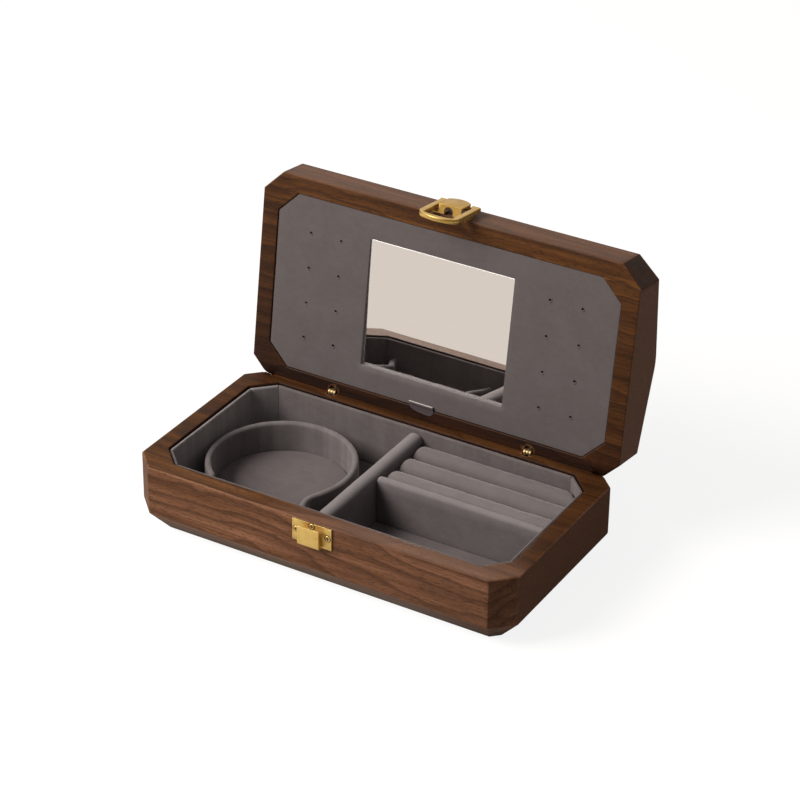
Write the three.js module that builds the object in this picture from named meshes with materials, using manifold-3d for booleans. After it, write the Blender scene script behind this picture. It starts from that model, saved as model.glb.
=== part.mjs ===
// A travel jewelry box of walnut, lined with grey velvet, with a mirror, barrel hinges and a brass latch.
// Units are millimetres. +Z is up, the box's front faces -Y, and the origin is the middle of its bottom face.
// The lid stands open against its stop. Its pieces are drawn closed, in a group that swings about the hinge.

import * as THREE from 'three';
import { mergeVertices } from 'three/addons/utils/BufferGeometryUtils.js';
import Module from 'manifold-3d';

const wasm = await Module();
wasm.setup();

// Outside of the two wooden shells
const boxWidth = 200;
const boxDepth = 106.6;
const cornerCut = 10.2;
const baseWallHeight = 25;
const baseBevelHeight = 12.3;
const baseBevelInset = 10.7;
const lidEdgeHeight = 17.7;
const lidRidgeRise = 10.3;
const lidRidgeRadius = 22;

// Inside of the two wooden shells
const wallThickness = 8.8;
const openingCut = 10.5;
const baseFloorThickness = 7;
const lidLedgeWidth = 3;
const lidCavityDepth = 15;

// Fits
const seatGap = 0.3;
const rimGap = 0.3;
const cutOverrun = 1;

// Velvet-covered boards of the base
const floorBoardThickness = 1.8;
const liningThickness = 1.8;
const liningDrop = 0.8;
const liningMitreGap = 0.3;
const dividerThickness = 7.4;
const dividerDrop = 2.8;
const dividerCrown = 2.8;
const dividerShift = -2.5;
const crossThickness = 4;
const crossDrop = 4;
const crossCrown = 2;
const crossFront = -0.6;

// Ring rolls
const rollCount = 3;
const rollDrop = 5.8;
const rollCrown = 5;
const rollSlot = 0.4;
const rollEndGap = 0.8;
const rollEndRadius = 3;
const rollEndDrop = 2.4;
const rollEndDraw = 0.5;

// Bangle ring and the pad inside it
const ringRadius = 36.2;
const ringThickness = 3.2;
const ringDrop = 10;
const ringCrown = 1.4;
const ringShiftX = -50;
const ringShiftY = -1;
const ringRightEndAngle = -28 * Math.PI / 180;
const ringLeftEndAngle = -130 * Math.PI / 180;
const ringRightTailShift = 2;
const ringLeftTailShift = 1.5;
const ringPadThickness = 3;

// Velvet panel, mirror and pull tab in the lid
const panelThickness = 3;
const panelRecess = 0.6;
const panelGap = 0.4;
const mirrorOpeningWidth = 76.8;
const mirrorOpeningHeight = 64;
const mirrorShift = -1.5;
const mirrorRecess = 1.3;
const mirrorLean = 1.25 * Math.PI / 180;
const mirrorLap = 3;
const mirrorThickness = 1.6;
const mirrorBackingThickness = 1;
const earringHoleRadius = 0.6;
const earringColumnInner = 55.8;
const earringColumnPitch = 16.7;
const earringRowPitch = 17.8;
const earringRows = 4;
const tabWidth = 13;
const tabShift = -5.3;
const tabLength = 2.4;
const ribbonThickness = 0.5;
const tabFoldGap = 0.1;
const tabNotchDepth = 1.5;

// Barrel hinges
const openAngle = 98 * Math.PI / 180;
const hingeSpread = 53.5;
const hingeSetback = 3.3;
const barrelSetback = 4.1;
const barrelRadius = 2.5;
const barrelLength = 10;
const barrelNeck = 2.4;
const barrelClearance = 0.3;
const knuckleRadius = 1.5;
const cheekThickness = 1;
const tongueThickness = 1.4;
const knuckleClearance = 0.2;
const hingePinRadius = 0.5;
const hingePinClearance = 0.12;

// Sheet brass and its screws
const plateThickness = 0.5;
const foldThickness = 0.8;
const screwHeadRadius = 1.5;
const screwHeadRise = 0.2;
const screwHeadTaper = 0.6;
const screwShankRadius = 0.8;
const screwLength = 6;
const screwClearance = 0.3;
const screwSlotWidth = 0.4;
const screwSlotDepth = 0.4;

// Latch keeper on the base
const keeperWidth = 20.6;
const keeperHeight = 11;
const keeperDrop = 0.4;
const keeperTongueWidth = 11.3;
const keeperTongueTop = 1.4;
const keeperTongueBottom = 11.3;
const keeperTongueReach = 4.2;
const keeperBendRadius = 1.4;
const keeperScrewSpread = 8.3;
const keeperScrewDrop = 5.6;
const keeperTopScrewDrop = 1.9;

// Latch on the lid, which sits a little to the right of the keeper
const latchShift = 0.4;
const latchFlangeWidth = 20.6;
const latchFlangeHeight = 6;
const latchFlangeRadius = 1.8;
const latchLift = 0.3;
const latchBridgeWidth = 11.8;
const latchBridgeReach = 5;
const latchTailHeight = 12;
const latchTailCornerHeight = 9.4;
const latchWindowWidth = 4.6;
const latchWindowDepth = 2.6;
const latchWindowShift = -0.6;
const latchScrewSpread = 8.1;
const latchScrewHeight = 3.4;
const latchPinHeight = 10.1;
const latchLoopClearance = 0.2;
const latchPinRadius = 0.6;
const latchPinClearance = 0.15;
const latchKnuckleRadius = 1.4;
const latchKnuckleWidth = 9.6;
const loopHalfWidth = 10.3;
const loopArmWidth = 2.8;
const loopThickness = 2.8;
const loopOuterCorner = 20.5;
const loopRidgeMiddle = 25.2;
const loopFootMiddle = 23.2;
const loopInnerCorner = 21.8;
const loopInnerMiddle = 22.4;
const loopRidgeThickness = 1.3;
const loopEyeRadius = 1.5;
const loopEyeClearance = 0.4;

// How finely round shapes are faceted
const ringSteps = 72;
const smallRoundSteps = 20;
const holeSteps = 8;
const arcSteps = 14;
const endSteps = 5;

// Places that follow from the sizes above
const baseHeight = baseWallHeight + baseBevelHeight;
const halfWidth = boxWidth / 2;
const halfDepth = boxDepth / 2;
const openingHalfWidth = halfWidth - wallThickness;
const openingHalfDepth = halfDepth - wallThickness;
const rimTop = baseHeight;
const lidFace = rimTop + rimGap;
const hingeY = halfDepth - hingeSetback;
const hingeZ = rimTop + rimGap / 2;
const floorTop = baseFloorThickness + seatGap + floorBoardThickness;
const standZ = floorTop + seatGap;
const insideHalfWidth = openingHalfWidth - seatGap - liningThickness;
const insideHalfDepth = openingHalfDepth - seatGap - liningThickness;
const dividerRight = dividerShift + dividerThickness / 2;
const crossBack = crossFront + crossThickness;
const panelBack = panelRecess + panelThickness;
const glassFront = lidFace + panelRecess + mirrorRecess;
const barrelY = halfDepth - barrelSetback;
const latchScrewTop = seatGap + plateThickness + screwHeadRise;
const latchPinReach = latchScrewTop + latchLoopClearance + loopThickness / 2;
const latchPinY = -halfDepth - latchPinReach;
const latchPinZ = lidFace + latchPinHeight;

// The wall boards in the order of the corners of their outline
const liningNames = [
  'front', 'front_right', 'right', 'back_right', 'back', 'back_left', 'left', 'front_left',
];

// Finishes
const walnut = { color: 0x6a4631, roughness: 0.55, metalness: 0 };
const velvet = { color: 0x6b625f, roughness: 0.95, metalness: 0 };
const brass = { color: 0xc8a24a, roughness: 0.3, metalness: 1 };
const mirrorSilver = { color: 0xdedede, roughness: 0.03, metalness: 1 };
const card = { color: 0x3b3836, roughness: 0.9, metalness: 0 };
const ribbon = { color: 0x5c5052, roughness: 0.8, metalness: 0 };

/** Makes a closed geometry into a solid that can be cut and joined. */
function solidOf(geometry) {
  const bare = geometry.clone();
  bare.deleteAttribute('normal');
  bare.deleteAttribute('uv');
  const merged = mergeVertices(bare);
  const vertProperties = new Float32Array(merged.attributes.position.array);
  const triVerts = new Uint32Array(merged.index.array);
  return new wasm.Manifold(new wasm.Mesh({ numProp: 3, vertProperties, triVerts }));
}

/** Gives a solid's triangles back as a geometry with flat faces. */
function geometryOf(solid) {
  const mesh = solid.getMesh();
  const geometry = new THREE.BufferGeometry();
  geometry.setAttribute('position', new THREE.BufferAttribute(new Float32Array(mesh.vertProperties), 3));
  geometry.setIndex(new THREE.BufferAttribute(new Uint32Array(mesh.triVerts), 1));
  geometry.computeVertexNormals();
  return geometry;
}

/** A named mesh from a geometry or from a solid. */
function piece(name, shape, finish) {
  const geometry = shape.isBufferGeometry ? shape : geometryOf(shape);
  const mesh = new THREE.Mesh(geometry, new THREE.MeshStandardMaterial(finish));
  mesh.name = name;
  return mesh;
}

/** An outline drawn out square along Z from zero. */
function extrusion(shape, depth) {
  return new THREE.ExtrudeGeometry(shape, { depth, bevelEnabled: false, curveSegments: arcSteps });
}

/** An outline in the XY plane raised from one height to another. */
function raise(shape, zLow, zHigh) {
  const geometry = extrusion(shape, zHigh - zLow);
  geometry.translate(0, 0, zLow);
  return geometry;
}

/** An outline drawn in the YZ plane and drawn out from one X to another. */
function drawOut(shape, xLow, xHigh) {
  const geometry = extrusion(shape, xHigh - xLow);
  const alongX = new THREE.Matrix4().makeBasis(
    new THREE.Vector3(0, 1, 0),
    new THREE.Vector3(0, 0, 1),
    new THREE.Vector3(1, 0, 0),
  );
  geometry.applyMatrix4(alongX);
  geometry.translate(xLow, 0, 0);
  return geometry;
}

/** An outline drawn in the XZ plane and drawn out from one Y to another. */
function drawBack(shape, yLow, yHigh) {
  const geometry = extrusion(shape, yHigh - yLow);
  const alongY = new THREE.Matrix4().makeBasis(
    new THREE.Vector3(1, 0, 0),
    new THREE.Vector3(0, 0, 1),
    new THREE.Vector3(0, -1, 0),
  );
  geometry.applyMatrix4(alongY);
  geometry.translate(0, yHigh, 0);
  return geometry;
}

/** A box between two corners. */
function block(xLow, xHigh, yLow, yHigh, zLow, zHigh) {
  const geometry = new THREE.BoxGeometry(xHigh - xLow, yHigh - yLow, zHigh - zLow);
  geometry.translate((xLow + xHigh) / 2, (yLow + yHigh) / 2, (zLow + zHigh) / 2);
  return geometry;
}

/** A round bar along X. */
function barAlongX(radius, xLow, xHigh, y, z, steps = smallRoundSteps) {
  const geometry = new THREE.CylinderGeometry(radius, radius, xHigh - xLow, steps);
  geometry.rotateZ(Math.PI / 2);
  geometry.translate((xLow + xHigh) / 2, y, z);
  return geometry;
}

/** A round bar along Z. */
function barAlongZ(radius, x, y, zLow, zHigh, steps = smallRoundSteps) {
  const geometry = new THREE.CylinderGeometry(radius, radius, zHigh - zLow, steps);
  geometry.rotateX(Math.PI / 2);
  geometry.translate(x, y, (zLow + zHigh) / 2);
  return geometry;
}

/** A round bar along Y. */
function barAlongY(radius, x, z, yLow, yHigh, steps = smallRoundSteps) {
  const geometry = new THREE.CylinderGeometry(radius, radius, yHigh - yLow, steps);
  geometry.translate(x, (yLow + yHigh) / 2, z);
  return geometry;
}

/** The corners of a rectangle with cut corners, anticlockwise from the front edge's left end. */
function cutCorners(halfX, halfY, cut) {
  return [
    new THREE.Vector2(-halfX + cut, -halfY),
    new THREE.Vector2(halfX - cut, -halfY),
    new THREE.Vector2(halfX, -halfY + cut),
    new THREE.Vector2(halfX, halfY - cut),
    new THREE.Vector2(halfX - cut, halfY),
    new THREE.Vector2(-halfX + cut, halfY),
    new THREE.Vector2(-halfX, halfY - cut),
    new THREE.Vector2(-halfX, -halfY + cut),
  ];
}

/** The leg of the cut corner that is left when every side moves in by the same distance. */
function insetCut(cut, inset) {
  return cut - inset * (2 - Math.SQRT2);
}

/** A ring of corners at one height. */
function ringAt(points, z) {
  return points.map((point) => new THREE.Vector3(point.x, point.y, z));
}

/** A closed solid through rings of corners that turn anticlockwise, seen from the last ring. */
function loft(rings) {
  const corners = rings[0].length;
  const positions = rings.flat().flatMap((point) => [point.x, point.y, point.z]);
  const faces = [];
  for (let level = 0; level + 1 < rings.length; level += 1) {
    for (let corner = 0; corner < corners; corner += 1) {
      const a = level * corners + corner;
      const b = level * corners + (corner + 1) % corners;
      faces.push(a, b, b + corners);
      faces.push(a, b + corners, a + corners);
    }
  }
  const last = (rings.length - 1) * corners;
  for (let corner = 1; corner + 1 < corners; corner += 1) {
    faces.push(0, corner + 1, corner);
    faces.push(last, last + corner, last + corner + 1);
  }
  const geometry = new THREE.BufferGeometry();
  geometry.setAttribute('position', new THREE.Float32BufferAttribute(positions, 3));
  geometry.setIndex(faces);
  geometry.computeVertexNormals();
  return geometry;
}

/** The wedge that the back edges lose, so that the lid's turned bevel comes to rest on the base's. */
function backBevel(side) {
  const run = hingeSetback + cutOverrun;
  const fall = run * Math.tan(openAngle / 2);
  const edgeZ = side < 0 ? rimTop : lidFace;
  const wedge = new THREE.Shape();
  wedge.moveTo(hingeY, edgeZ);
  wedge.lineTo(hingeY + run, edgeZ + side * fall);
  wedge.lineTo(hingeY + run, edgeZ - side * cutOverrun);
  wedge.lineTo(hingeY, edgeZ - side * cutOverrun);
  return solidOf(drawOut(wedge, -halfWidth - cutOverrun, halfWidth + cutOverrun));
}

/** Walnut tray, cut from one block, with its bevelled foot, its well and its hinge and screw holes. */
function baseShell() {
  const outer = cutCorners(halfWidth, halfDepth, cornerCut);
  const footCut = insetCut(cornerCut, baseBevelInset);
  const foot = cutCorners(halfWidth - baseBevelInset, halfDepth - baseBevelInset, footCut);
  let shell = solidOf(loft([ringAt(foot, 0), ringAt(outer, baseBevelHeight), ringAt(outer, baseHeight)]));
  const opening = new THREE.Shape(cutCorners(openingHalfWidth, openingHalfDepth, openingCut));
  shell = shell.subtract(solidOf(raise(opening, baseFloorThickness, rimTop + cutOverrun)));
  shell = shell.subtract(backBevel(-1));
  const holeRadius = barrelRadius + barrelClearance;
  const holeBottom = rimTop - barrelLength - barrelClearance;
  for (const side of [-1, 1]) {
    const hole = barAlongZ(holeRadius, side * hingeSpread, barrelY, holeBottom, rimTop + cutOverrun);
    shell = shell.subtract(solidOf(hole));
  }
  for (const place of keeperScrewPlaces()) {
    shell = shell.subtract(pilotHole(place.x, place.z));
  }
  return shell;
}

/** The round hole in a front wall that takes a screw's shank. */
function pilotHole(x, z) {
  const radius = screwShankRadius + screwClearance;
  const bottomY = -halfDepth + screwLength + screwClearance;
  return solidOf(barAlongY(radius, x, z, -halfDepth - cutOverrun, bottomY));
}

/** Walnut lid, cut from one block, with a gabled top, a ledge for the panel and a hollow behind it. */
function lidShell() {
  const slope = Math.atan2(lidRidgeRise, halfDepth);
  const roundHalf = lidRidgeRadius * Math.sin(slope);
  const roundZ = lidFace + lidEdgeHeight + (halfDepth - roundHalf) * Math.tan(slope);
  const centreZ = roundZ - lidRidgeRadius * Math.cos(slope);
  const gable = new THREE.Shape();
  gable.moveTo(-halfDepth - cutOverrun, lidFace);
  gable.lineTo(halfDepth + cutOverrun, lidFace);
  gable.lineTo(halfDepth + cutOverrun, lidFace + lidEdgeHeight - cutOverrun * Math.tan(slope));
  gable.lineTo(roundHalf, roundZ);
  gable.absarc(0, centreZ, lidRidgeRadius, Math.PI / 2 - slope, Math.PI / 2 + slope, false);
  gable.lineTo(-halfDepth - cutOverrun, lidFace + lidEdgeHeight - cutOverrun * Math.tan(slope));
  const outline = new THREE.Shape(cutCorners(halfWidth, halfDepth, cornerCut));
  const tall = lidFace + lidEdgeHeight + lidRidgeRise + cutOverrun;
  let shell = solidOf(raise(outline, lidFace, tall));
  shell = shell.intersect(solidOf(drawOut(gable, -halfWidth - cutOverrun, halfWidth + cutOverrun)));
  const opening = new THREE.Shape(cutCorners(openingHalfWidth, openingHalfDepth, openingCut));
  shell = shell.subtract(solidOf(raise(opening, lidFace - cutOverrun, lidFace + panelBack + seatGap)));
  const hollowCut = insetCut(openingCut, lidLedgeWidth);
  const hollow = cutCorners(openingHalfWidth - lidLedgeWidth, openingHalfDepth - lidLedgeWidth, hollowCut);
  shell = shell.subtract(solidOf(raise(new THREE.Shape(hollow), lidFace, lidFace + lidCavityDepth)));
  shell = shell.subtract(backBevel(1));
  const holeRadius = barrelRadius + barrelClearance;
  const holeTop = lidFace + barrelLength + barrelClearance;
  for (const side of [-1, 1]) {
    const hole = barAlongZ(holeRadius, side * hingeSpread, barrelY, lidFace - cutOverrun, holeTop);
    shell = shell.subtract(solidOf(hole));
    shell = shell.subtract(pilotHole(latchShift + side * latchScrewSpread, lidFace + latchScrewHeight));
  }
  return shell;
}

/** Velvet-covered board on the tray's floor. */
function floorBoard() {
  const cut = insetCut(openingCut, seatGap);
  const outline = new THREE.Shape(cutCorners(openingHalfWidth - seatGap, openingHalfDepth - seatGap, cut));
  return raise(outline, baseFloorThickness + seatGap, floorTop);
}

/** One velvet-covered wall board, mitred where it meets its neighbours. */
function liningBoard(index) {
  const outerCut = insetCut(openingCut, seatGap);
  const innerCut = insetCut(openingCut, seatGap + liningThickness);
  const outer = cutCorners(openingHalfWidth - seatGap, openingHalfDepth - seatGap, outerCut);
  const inner = cutCorners(insideHalfWidth, insideHalfDepth, innerCut);
  const next = (index + 1) % outer.length;
  const along = outer[next].clone().sub(outer[index]).normalize().multiplyScalar(liningMitreGap / 2);
  const outline = new THREE.Shape([
    outer[index].clone().add(along),
    outer[next].clone().sub(along),
    inner[next].clone().sub(along),
    inner[index].clone().add(along),
  ]);
  return raise(outline, standZ, rimTop - liningDrop);
}

/** A board's end view with a half-oval top edge. */
function roundTopped(middle, thickness, crown, zLow, zHigh) {
  const half = thickness / 2;
  const view = new THREE.Shape();
  view.moveTo(middle - half, zLow);
  view.lineTo(middle + half, zLow);
  view.lineTo(middle + half, zHigh - crown);
  view.absellipse(middle, zHigh - crown, half, crown, 0, Math.PI, false);
  return view;
}

/** Board between the two halves of the tray, from the front lining to the back one. */
function centreDivider() {
  const reach = insideHalfDepth - seatGap;
  const view = roundTopped(dividerShift, dividerThickness, dividerCrown, standZ, rimTop - dividerDrop);
  return drawBack(view, -reach, reach);
}

/** Board between the ring rolls and the open compartment in front of them. */
function crossDivider() {
  const middle = crossFront + crossThickness / 2;
  const view = roundTopped(middle, crossThickness, crossCrown, standZ, rimTop - crossDrop);
  return drawOut(view, dividerRight + seatGap, insideHalfWidth - seatGap);
}

/** A closed outline's points, without the one that a path repeats at its end. */
function outlinePoints(shape) {
  const points = shape.getPoints(arcSteps);
  const ends = points[0].distanceTo(points[points.length - 1]);
  const repeats = ends < points[0].distanceTo(points[1]) / arcSteps;
  return repeats ? points.slice(0, -1) : points;
}

/** One upright padded roll with drawn-in ends, clipped to the tray's cut corner. */
function ringRoll(index) {
  const low = crossBack + rollSlot;
  const pitch = (insideHalfDepth - seatGap - low + rollSlot) / rollCount;
  const thickness = pitch - rollSlot;
  const middle = low + index * pitch + thickness / 2;
  const view = outlinePoints(roundTopped(middle, thickness, rollCrown, standZ, rimTop - rollDrop));
  const xLow = dividerRight + rollEndGap;
  const xHigh = insideHalfWidth - seatGap;
  const height = rimTop - rollDrop - standZ;
  const station = (x, turn) => view.map((point) => {
    const slack = 1 - Math.sin(turn);
    const draw = 1 - slack * rollEndDraw / (thickness / 2);
    const lower = slack * rollEndDrop * (point.y - standZ) / height;
    return new THREE.Vector3(x, middle + (point.x - middle) * draw, point.y - lower);
  });
  const rings = [];
  for (let step = 0; step <= endSteps; step += 1) {
    const turn = Math.PI / 2 * step / endSteps;
    const inset = rollEndRadius * (1 - Math.cos(turn));
    rings[step] = station(xLow + inset, turn);
    rings[2 * endSteps + 1 - step] = station(xHigh - inset, turn);
  }
  const cut = insetCut(openingCut, seatGap + liningThickness + seatGap);
  const room = new THREE.Shape(cutCorners(insideHalfWidth - seatGap, insideHalfDepth - seatGap, cut));
  return solidOf(loft(rings)).intersect(solidOf(raise(room, 0, rimTop)));
}

/** The middle line of the bangle ring: an arc with a tail at each end that turns out to the front lining. */
function ringLine() {
  const radius = ringRadius - ringThickness / 2;
  const at = (angle) => new THREE.Vector2(
    ringShiftX + radius * Math.cos(angle),
    ringShiftY + radius * Math.sin(angle),
  );
  const heading = (angle) => new THREE.Vector2(-Math.sin(angle), Math.cos(angle));
  const frontY = -insideHalfDepth + seatGap;
  const tail = (angle, way, shift) => {
    const start = at(angle);
    const end = new THREE.Vector2(start.x + shift, frontY);
    const pull = (start.y - frontY) / 2;
    const leave = start.clone().add(heading(angle).multiplyScalar(way * pull));
    return new THREE.CubicBezierCurve(start, leave, new THREE.Vector2(end.x, frontY + pull), end);
  };
  const fullTurn = 2 * Math.PI;
  const leftAngle = ringLeftEndAngle + fullTurn;
  const points = tail(ringRightEndAngle, -1, ringRightTailShift).getPoints(arcSteps).reverse();
  for (let step = 1; step < ringSteps; step += 1) {
    points.push(at(ringRightEndAngle + (leftAngle - ringRightEndAngle) * step / ringSteps));
  }
  points.push(...tail(ringLeftEndAngle, 1, -ringLeftTailShift).getPoints(arcSteps));
  return points;
}

/** The directions to the left of a line at each of its points. */
function leftOf(points) {
  return points.map((point, index) => {
    const before = points[Math.max(index - 1, 0)];
    const after = points[Math.min(index + 1, points.length - 1)];
    const along = after.clone().sub(before).normalize();
    return new THREE.Vector2(-along.y, along.x);
  });
}

/** C-shaped padded wall with a rounded top that bangles go round, open towards the front. */
function bangleRing() {
  const line = ringLine();
  const left = leftOf(line);
  const view = outlinePoints(roundTopped(0, ringThickness, ringCrown, standZ, rimTop - ringDrop));
  const rings = line.map((point, index) => view.map((corner) => new THREE.Vector3(
    point.x + left[index].x * corner.x,
    point.y + left[index].y * corner.x,
    corner.y,
  )));
  return loft(rings);
}

/** Velvet pad that fills the floor inside the bangle ring. */
function banglePad() {
  const line = ringLine();
  const inwards = ringThickness / 2 + seatGap;
  const inside = leftOf(line).map((left, index) => left.multiplyScalar(inwards).add(line[index]));
  return raise(new THREE.Shape(inside), standZ, standZ + ringPadThickness);
}

/** Velvet-covered panel with the mirror's opening, the earring holes and the ribbon's notch. */
function earringPanel() {
  const cut = insetCut(openingCut, panelGap);
  const outline = new THREE.Shape(cutCorners(openingHalfWidth - panelGap, openingHalfDepth - panelGap, cut));
  const halfOpeningX = mirrorOpeningWidth / 2;
  const halfOpeningY = mirrorOpeningHeight / 2;
  outline.holes.push(new THREE.Path([
    new THREE.Vector2(mirrorShift - halfOpeningX, -halfOpeningY),
    new THREE.Vector2(mirrorShift - halfOpeningX, halfOpeningY),
    new THREE.Vector2(mirrorShift + halfOpeningX, halfOpeningY),
    new THREE.Vector2(mirrorShift + halfOpeningX, -halfOpeningY),
  ]));
  let panel = solidOf(raise(outline, lidFace + panelRecess, lidFace + panelBack));
  const rebateDeep = lidFace + panelBack + mirrorThickness;
  panel = panel.subtract(solidOf(leaningPlate(mirrorLap + seatGap, glassFront - seatGap, rebateDeep)));
  const low = lidFace + panelRecess - cutOverrun;
  const high = lidFace + panelBack + cutOverrun;
  for (const place of earringPlaces()) {
    panel = panel.subtract(solidOf(barAlongZ(earringHoleRadius, place.x, place.y, low, high, holeSteps)));
  }
  const edge = openingHalfDepth - panelGap;
  const notchHalf = tabWidth / 2 + seatGap;
  const notch = block(
    tabShift - notchHalf, tabShift + notchHalf, edge - tabNotchDepth, edge + cutOverrun, low, high,
  );
  return panel.subtract(solidOf(notch));
}

/** Middles of the earring holes: two columns on each side of the mirror. */
function earringPlaces() {
  const places = [];
  for (const side of [-1, 1]) {
    for (const column of [0, 1]) {
      for (let row = 0; row < earringRows; row += 1) {
        const x = side * (earringColumnInner + column * earringColumnPitch);
        places.push(new THREE.Vector2(x, (row - (earringRows - 1) / 2) * earringRowPitch));
      }
    }
  }
  return places;
}

/** A plate round the mirror's opening that leans with the mirror, given by its depths at its middle. */
function leaningPlate(lap, near, far) {
  const halfX = mirrorOpeningWidth / 2 + lap;
  const halfY = mirrorOpeningHeight / 2 + lap;
  const plate = block(-halfX, halfX, -halfY, halfY, near - glassFront, far - glassFront);
  plate.rotateX(mirrorLean);
  plate.translate(mirrorShift, 0, glassFront);
  return plate;
}

/** Mirror glass in the panel's rebate. It lies deeper at the hinges than at the latch. */
function mirrorGlass() {
  return leaningPlate(mirrorLap, glassFront, glassFront + mirrorThickness);
}

/** Card that backs the mirror, of the mirror's own size. */
function mirrorBacking() {
  const near = glassFront + mirrorThickness + seatGap;
  return leaningPlate(mirrorLap, near, near + mirrorBackingThickness);
}

/** Ribbon that comes through the panel's notch and folds back on itself over the panel's edge. */
function pullTab() {
  const near = lidFace + panelRecess - seatGap;
  const far = near - 2 * ribbonThickness - tabFoldGap;
  const back = openingHalfDepth - panelGap - seatGap;
  const deep = lidFace + panelBack;
  const fold = back - tabLength;
  const bend = ribbonThickness + tabFoldGap / 2;
  const view = new THREE.Shape();
  view.moveTo(back, deep);
  view.lineTo(back - ribbonThickness, deep);
  view.lineTo(back - ribbonThickness, near);
  view.lineTo(fold + bend, near);
  view.absarc(fold + bend, near - bend, bend, Math.PI / 2, 3 * Math.PI / 2, false);
  view.lineTo(back - ribbonThickness, far);
  view.lineTo(back - ribbonThickness, far + ribbonThickness);
  view.lineTo(fold + bend, far + ribbonThickness);
  view.lineTo(fold + bend, near - ribbonThickness);
  view.lineTo(back, near - ribbonThickness);
  return drawOut(view, tabShift - tabWidth / 2, tabShift + tabWidth / 2);
}

/** Half of a barrel hinge: a round barrel with upright lugs that end round the hinge line. */
function hingeHalf(x, side, lugs) {
  const edge = side < 0 ? rimTop : lidFace;
  const near = edge + side * barrelNeck;
  const far = edge + side * barrelLength;
  let half = solidOf(barAlongZ(barrelRadius, x, barrelY, Math.min(near, far), Math.max(near, far)));
  for (const lug of lugs) {
    const low = x + lug.from;
    const high = x + lug.to;
    const root = near + side * knuckleRadius / 2;
    half = half.add(solidOf(barAlongX(knuckleRadius, low, high, hingeY, hingeZ)));
    const shank = block(
      low, high, hingeY - knuckleRadius, hingeY, Math.min(root, hingeZ), Math.max(root, hingeZ),
    );
    half = half.add(solidOf(shank));
  }
  const boreHalf = tongueThickness / 2 + knuckleClearance + cheekThickness + cutOverrun;
  const boreRadius = hingePinRadius + hingePinClearance;
  return half.subtract(solidOf(barAlongX(boreRadius, x - boreHalf, x + boreHalf, hingeY, hingeZ)));
}

/** The base's half has two cheeks and the lid's half has one tongue between them. */
function baseHingeHalf(x) {
  const inner = tongueThickness / 2 + knuckleClearance;
  const outer = inner + cheekThickness;
  return hingeHalf(x, -1, [{ from: -outer, to: -inner }, { from: inner, to: outer }]);
}

function lidHingeHalf(x) {
  return hingeHalf(x, 1, [{ from: -tongueThickness / 2, to: tongueThickness / 2 }]);
}

/** The pin through a hinge's cheeks and tongue. */
function hingePin(x) {
  const half = tongueThickness / 2 + knuckleClearance + cheekThickness;
  return barAlongX(hingePinRadius, x - half, x + half, hingeY, hingeZ);
}

/** A screw with a low head and a cross in it, driven backwards into a front wall through its plate. */
function wallScrew(x, z) {
  const faceY = -halfDepth - seatGap - plateThickness;
  const frontY = faceY - screwHeadRise;
  const length = -halfDepth + screwLength - frontY;
  const profile = [
    new THREE.Vector2(0, 0),
    new THREE.Vector2(screwHeadRadius - screwHeadRise, 0),
    new THREE.Vector2(screwHeadRadius, screwHeadRise),
    new THREE.Vector2(screwShankRadius, screwHeadRise + screwHeadTaper),
    new THREE.Vector2(screwShankRadius, length - screwShankRadius),
    new THREE.Vector2(0, length),
  ];
  const turned = new THREE.LatheGeometry(profile, smallRoundSteps);
  turned.translate(x, frontY, z);
  let screw = solidOf(turned);
  const reach = screwHeadRadius - screwSlotWidth - screwHeadRise;
  const half = screwSlotWidth / 2;
  const cutLow = frontY - cutOverrun;
  const cutHigh = frontY + screwSlotDepth;
  screw = screw.subtract(solidOf(block(x - reach, x + reach, cutLow, cutHigh, z - half, z + half)));
  return screw.subtract(solidOf(block(x - half, x + half, cutLow, cutHigh, z - reach, z + reach)));
}

/** The hole that a screw's head and shank need in a plate on a front wall. */
function screwSeat(x, z) {
  const faceY = -halfDepth - seatGap - plateThickness;
  const radius = screwHeadRadius + screwClearance;
  return solidOf(barAlongY(radius, x, z, faceY - cutOverrun, -halfDepth));
}

/** Middles of the keeper's screws on the base's front wall. */
function keeperScrewPlaces() {
  return [
    { name: 'keeper_screw_left', x: -keeperScrewSpread, z: rimTop - keeperScrewDrop },
    { name: 'keeper_screw_top', x: 0, z: rimTop - keeperTopScrewDrop },
    { name: 'keeper_screw_right', x: keeperScrewSpread, z: rimTop - keeperScrewDrop },
  ];
}

/** Keeper: a sheet on the base's front wall with a tongue folded up in front of it. */
function keeperPlate() {
  const wallY = -halfDepth - seatGap;
  const faceY = wallY - plateThickness;
  const top = rimTop - keeperDrop;
  const halfPlate = keeperWidth / 2;
  let keeper = solidOf(block(-halfPlate, halfPlate, faceY, wallY, top - keeperHeight, top));
  const outerY = -halfDepth - keeperTongueReach;
  const low = rimTop - keeperTongueBottom;
  const high = rimTop - keeperTongueTop;
  const innerBend = keeperBendRadius - foldThickness;
  const bendY = outerY + keeperBendRadius;
  const bendZ = low + keeperBendRadius;
  const hook = new THREE.Shape();
  hook.moveTo(wallY, low);
  hook.lineTo(wallY, low + foldThickness);
  hook.lineTo(bendY, low + foldThickness);
  hook.absarc(bendY, bendZ, innerBend, 3 * Math.PI / 2, Math.PI, true);
  hook.lineTo(outerY + foldThickness, high);
  hook.lineTo(outerY, high);
  hook.absarc(bendY, bendZ, keeperBendRadius, Math.PI, 3 * Math.PI / 2, false);
  const halfTongue = keeperTongueWidth / 2;
  keeper = keeper.add(solidOf(drawOut(hook, -halfTongue, halfTongue)));
  for (const place of keeperScrewPlaces()) {
    keeper = keeper.subtract(screwSeat(place.x, place.z));
  }
  return keeper;
}

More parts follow.
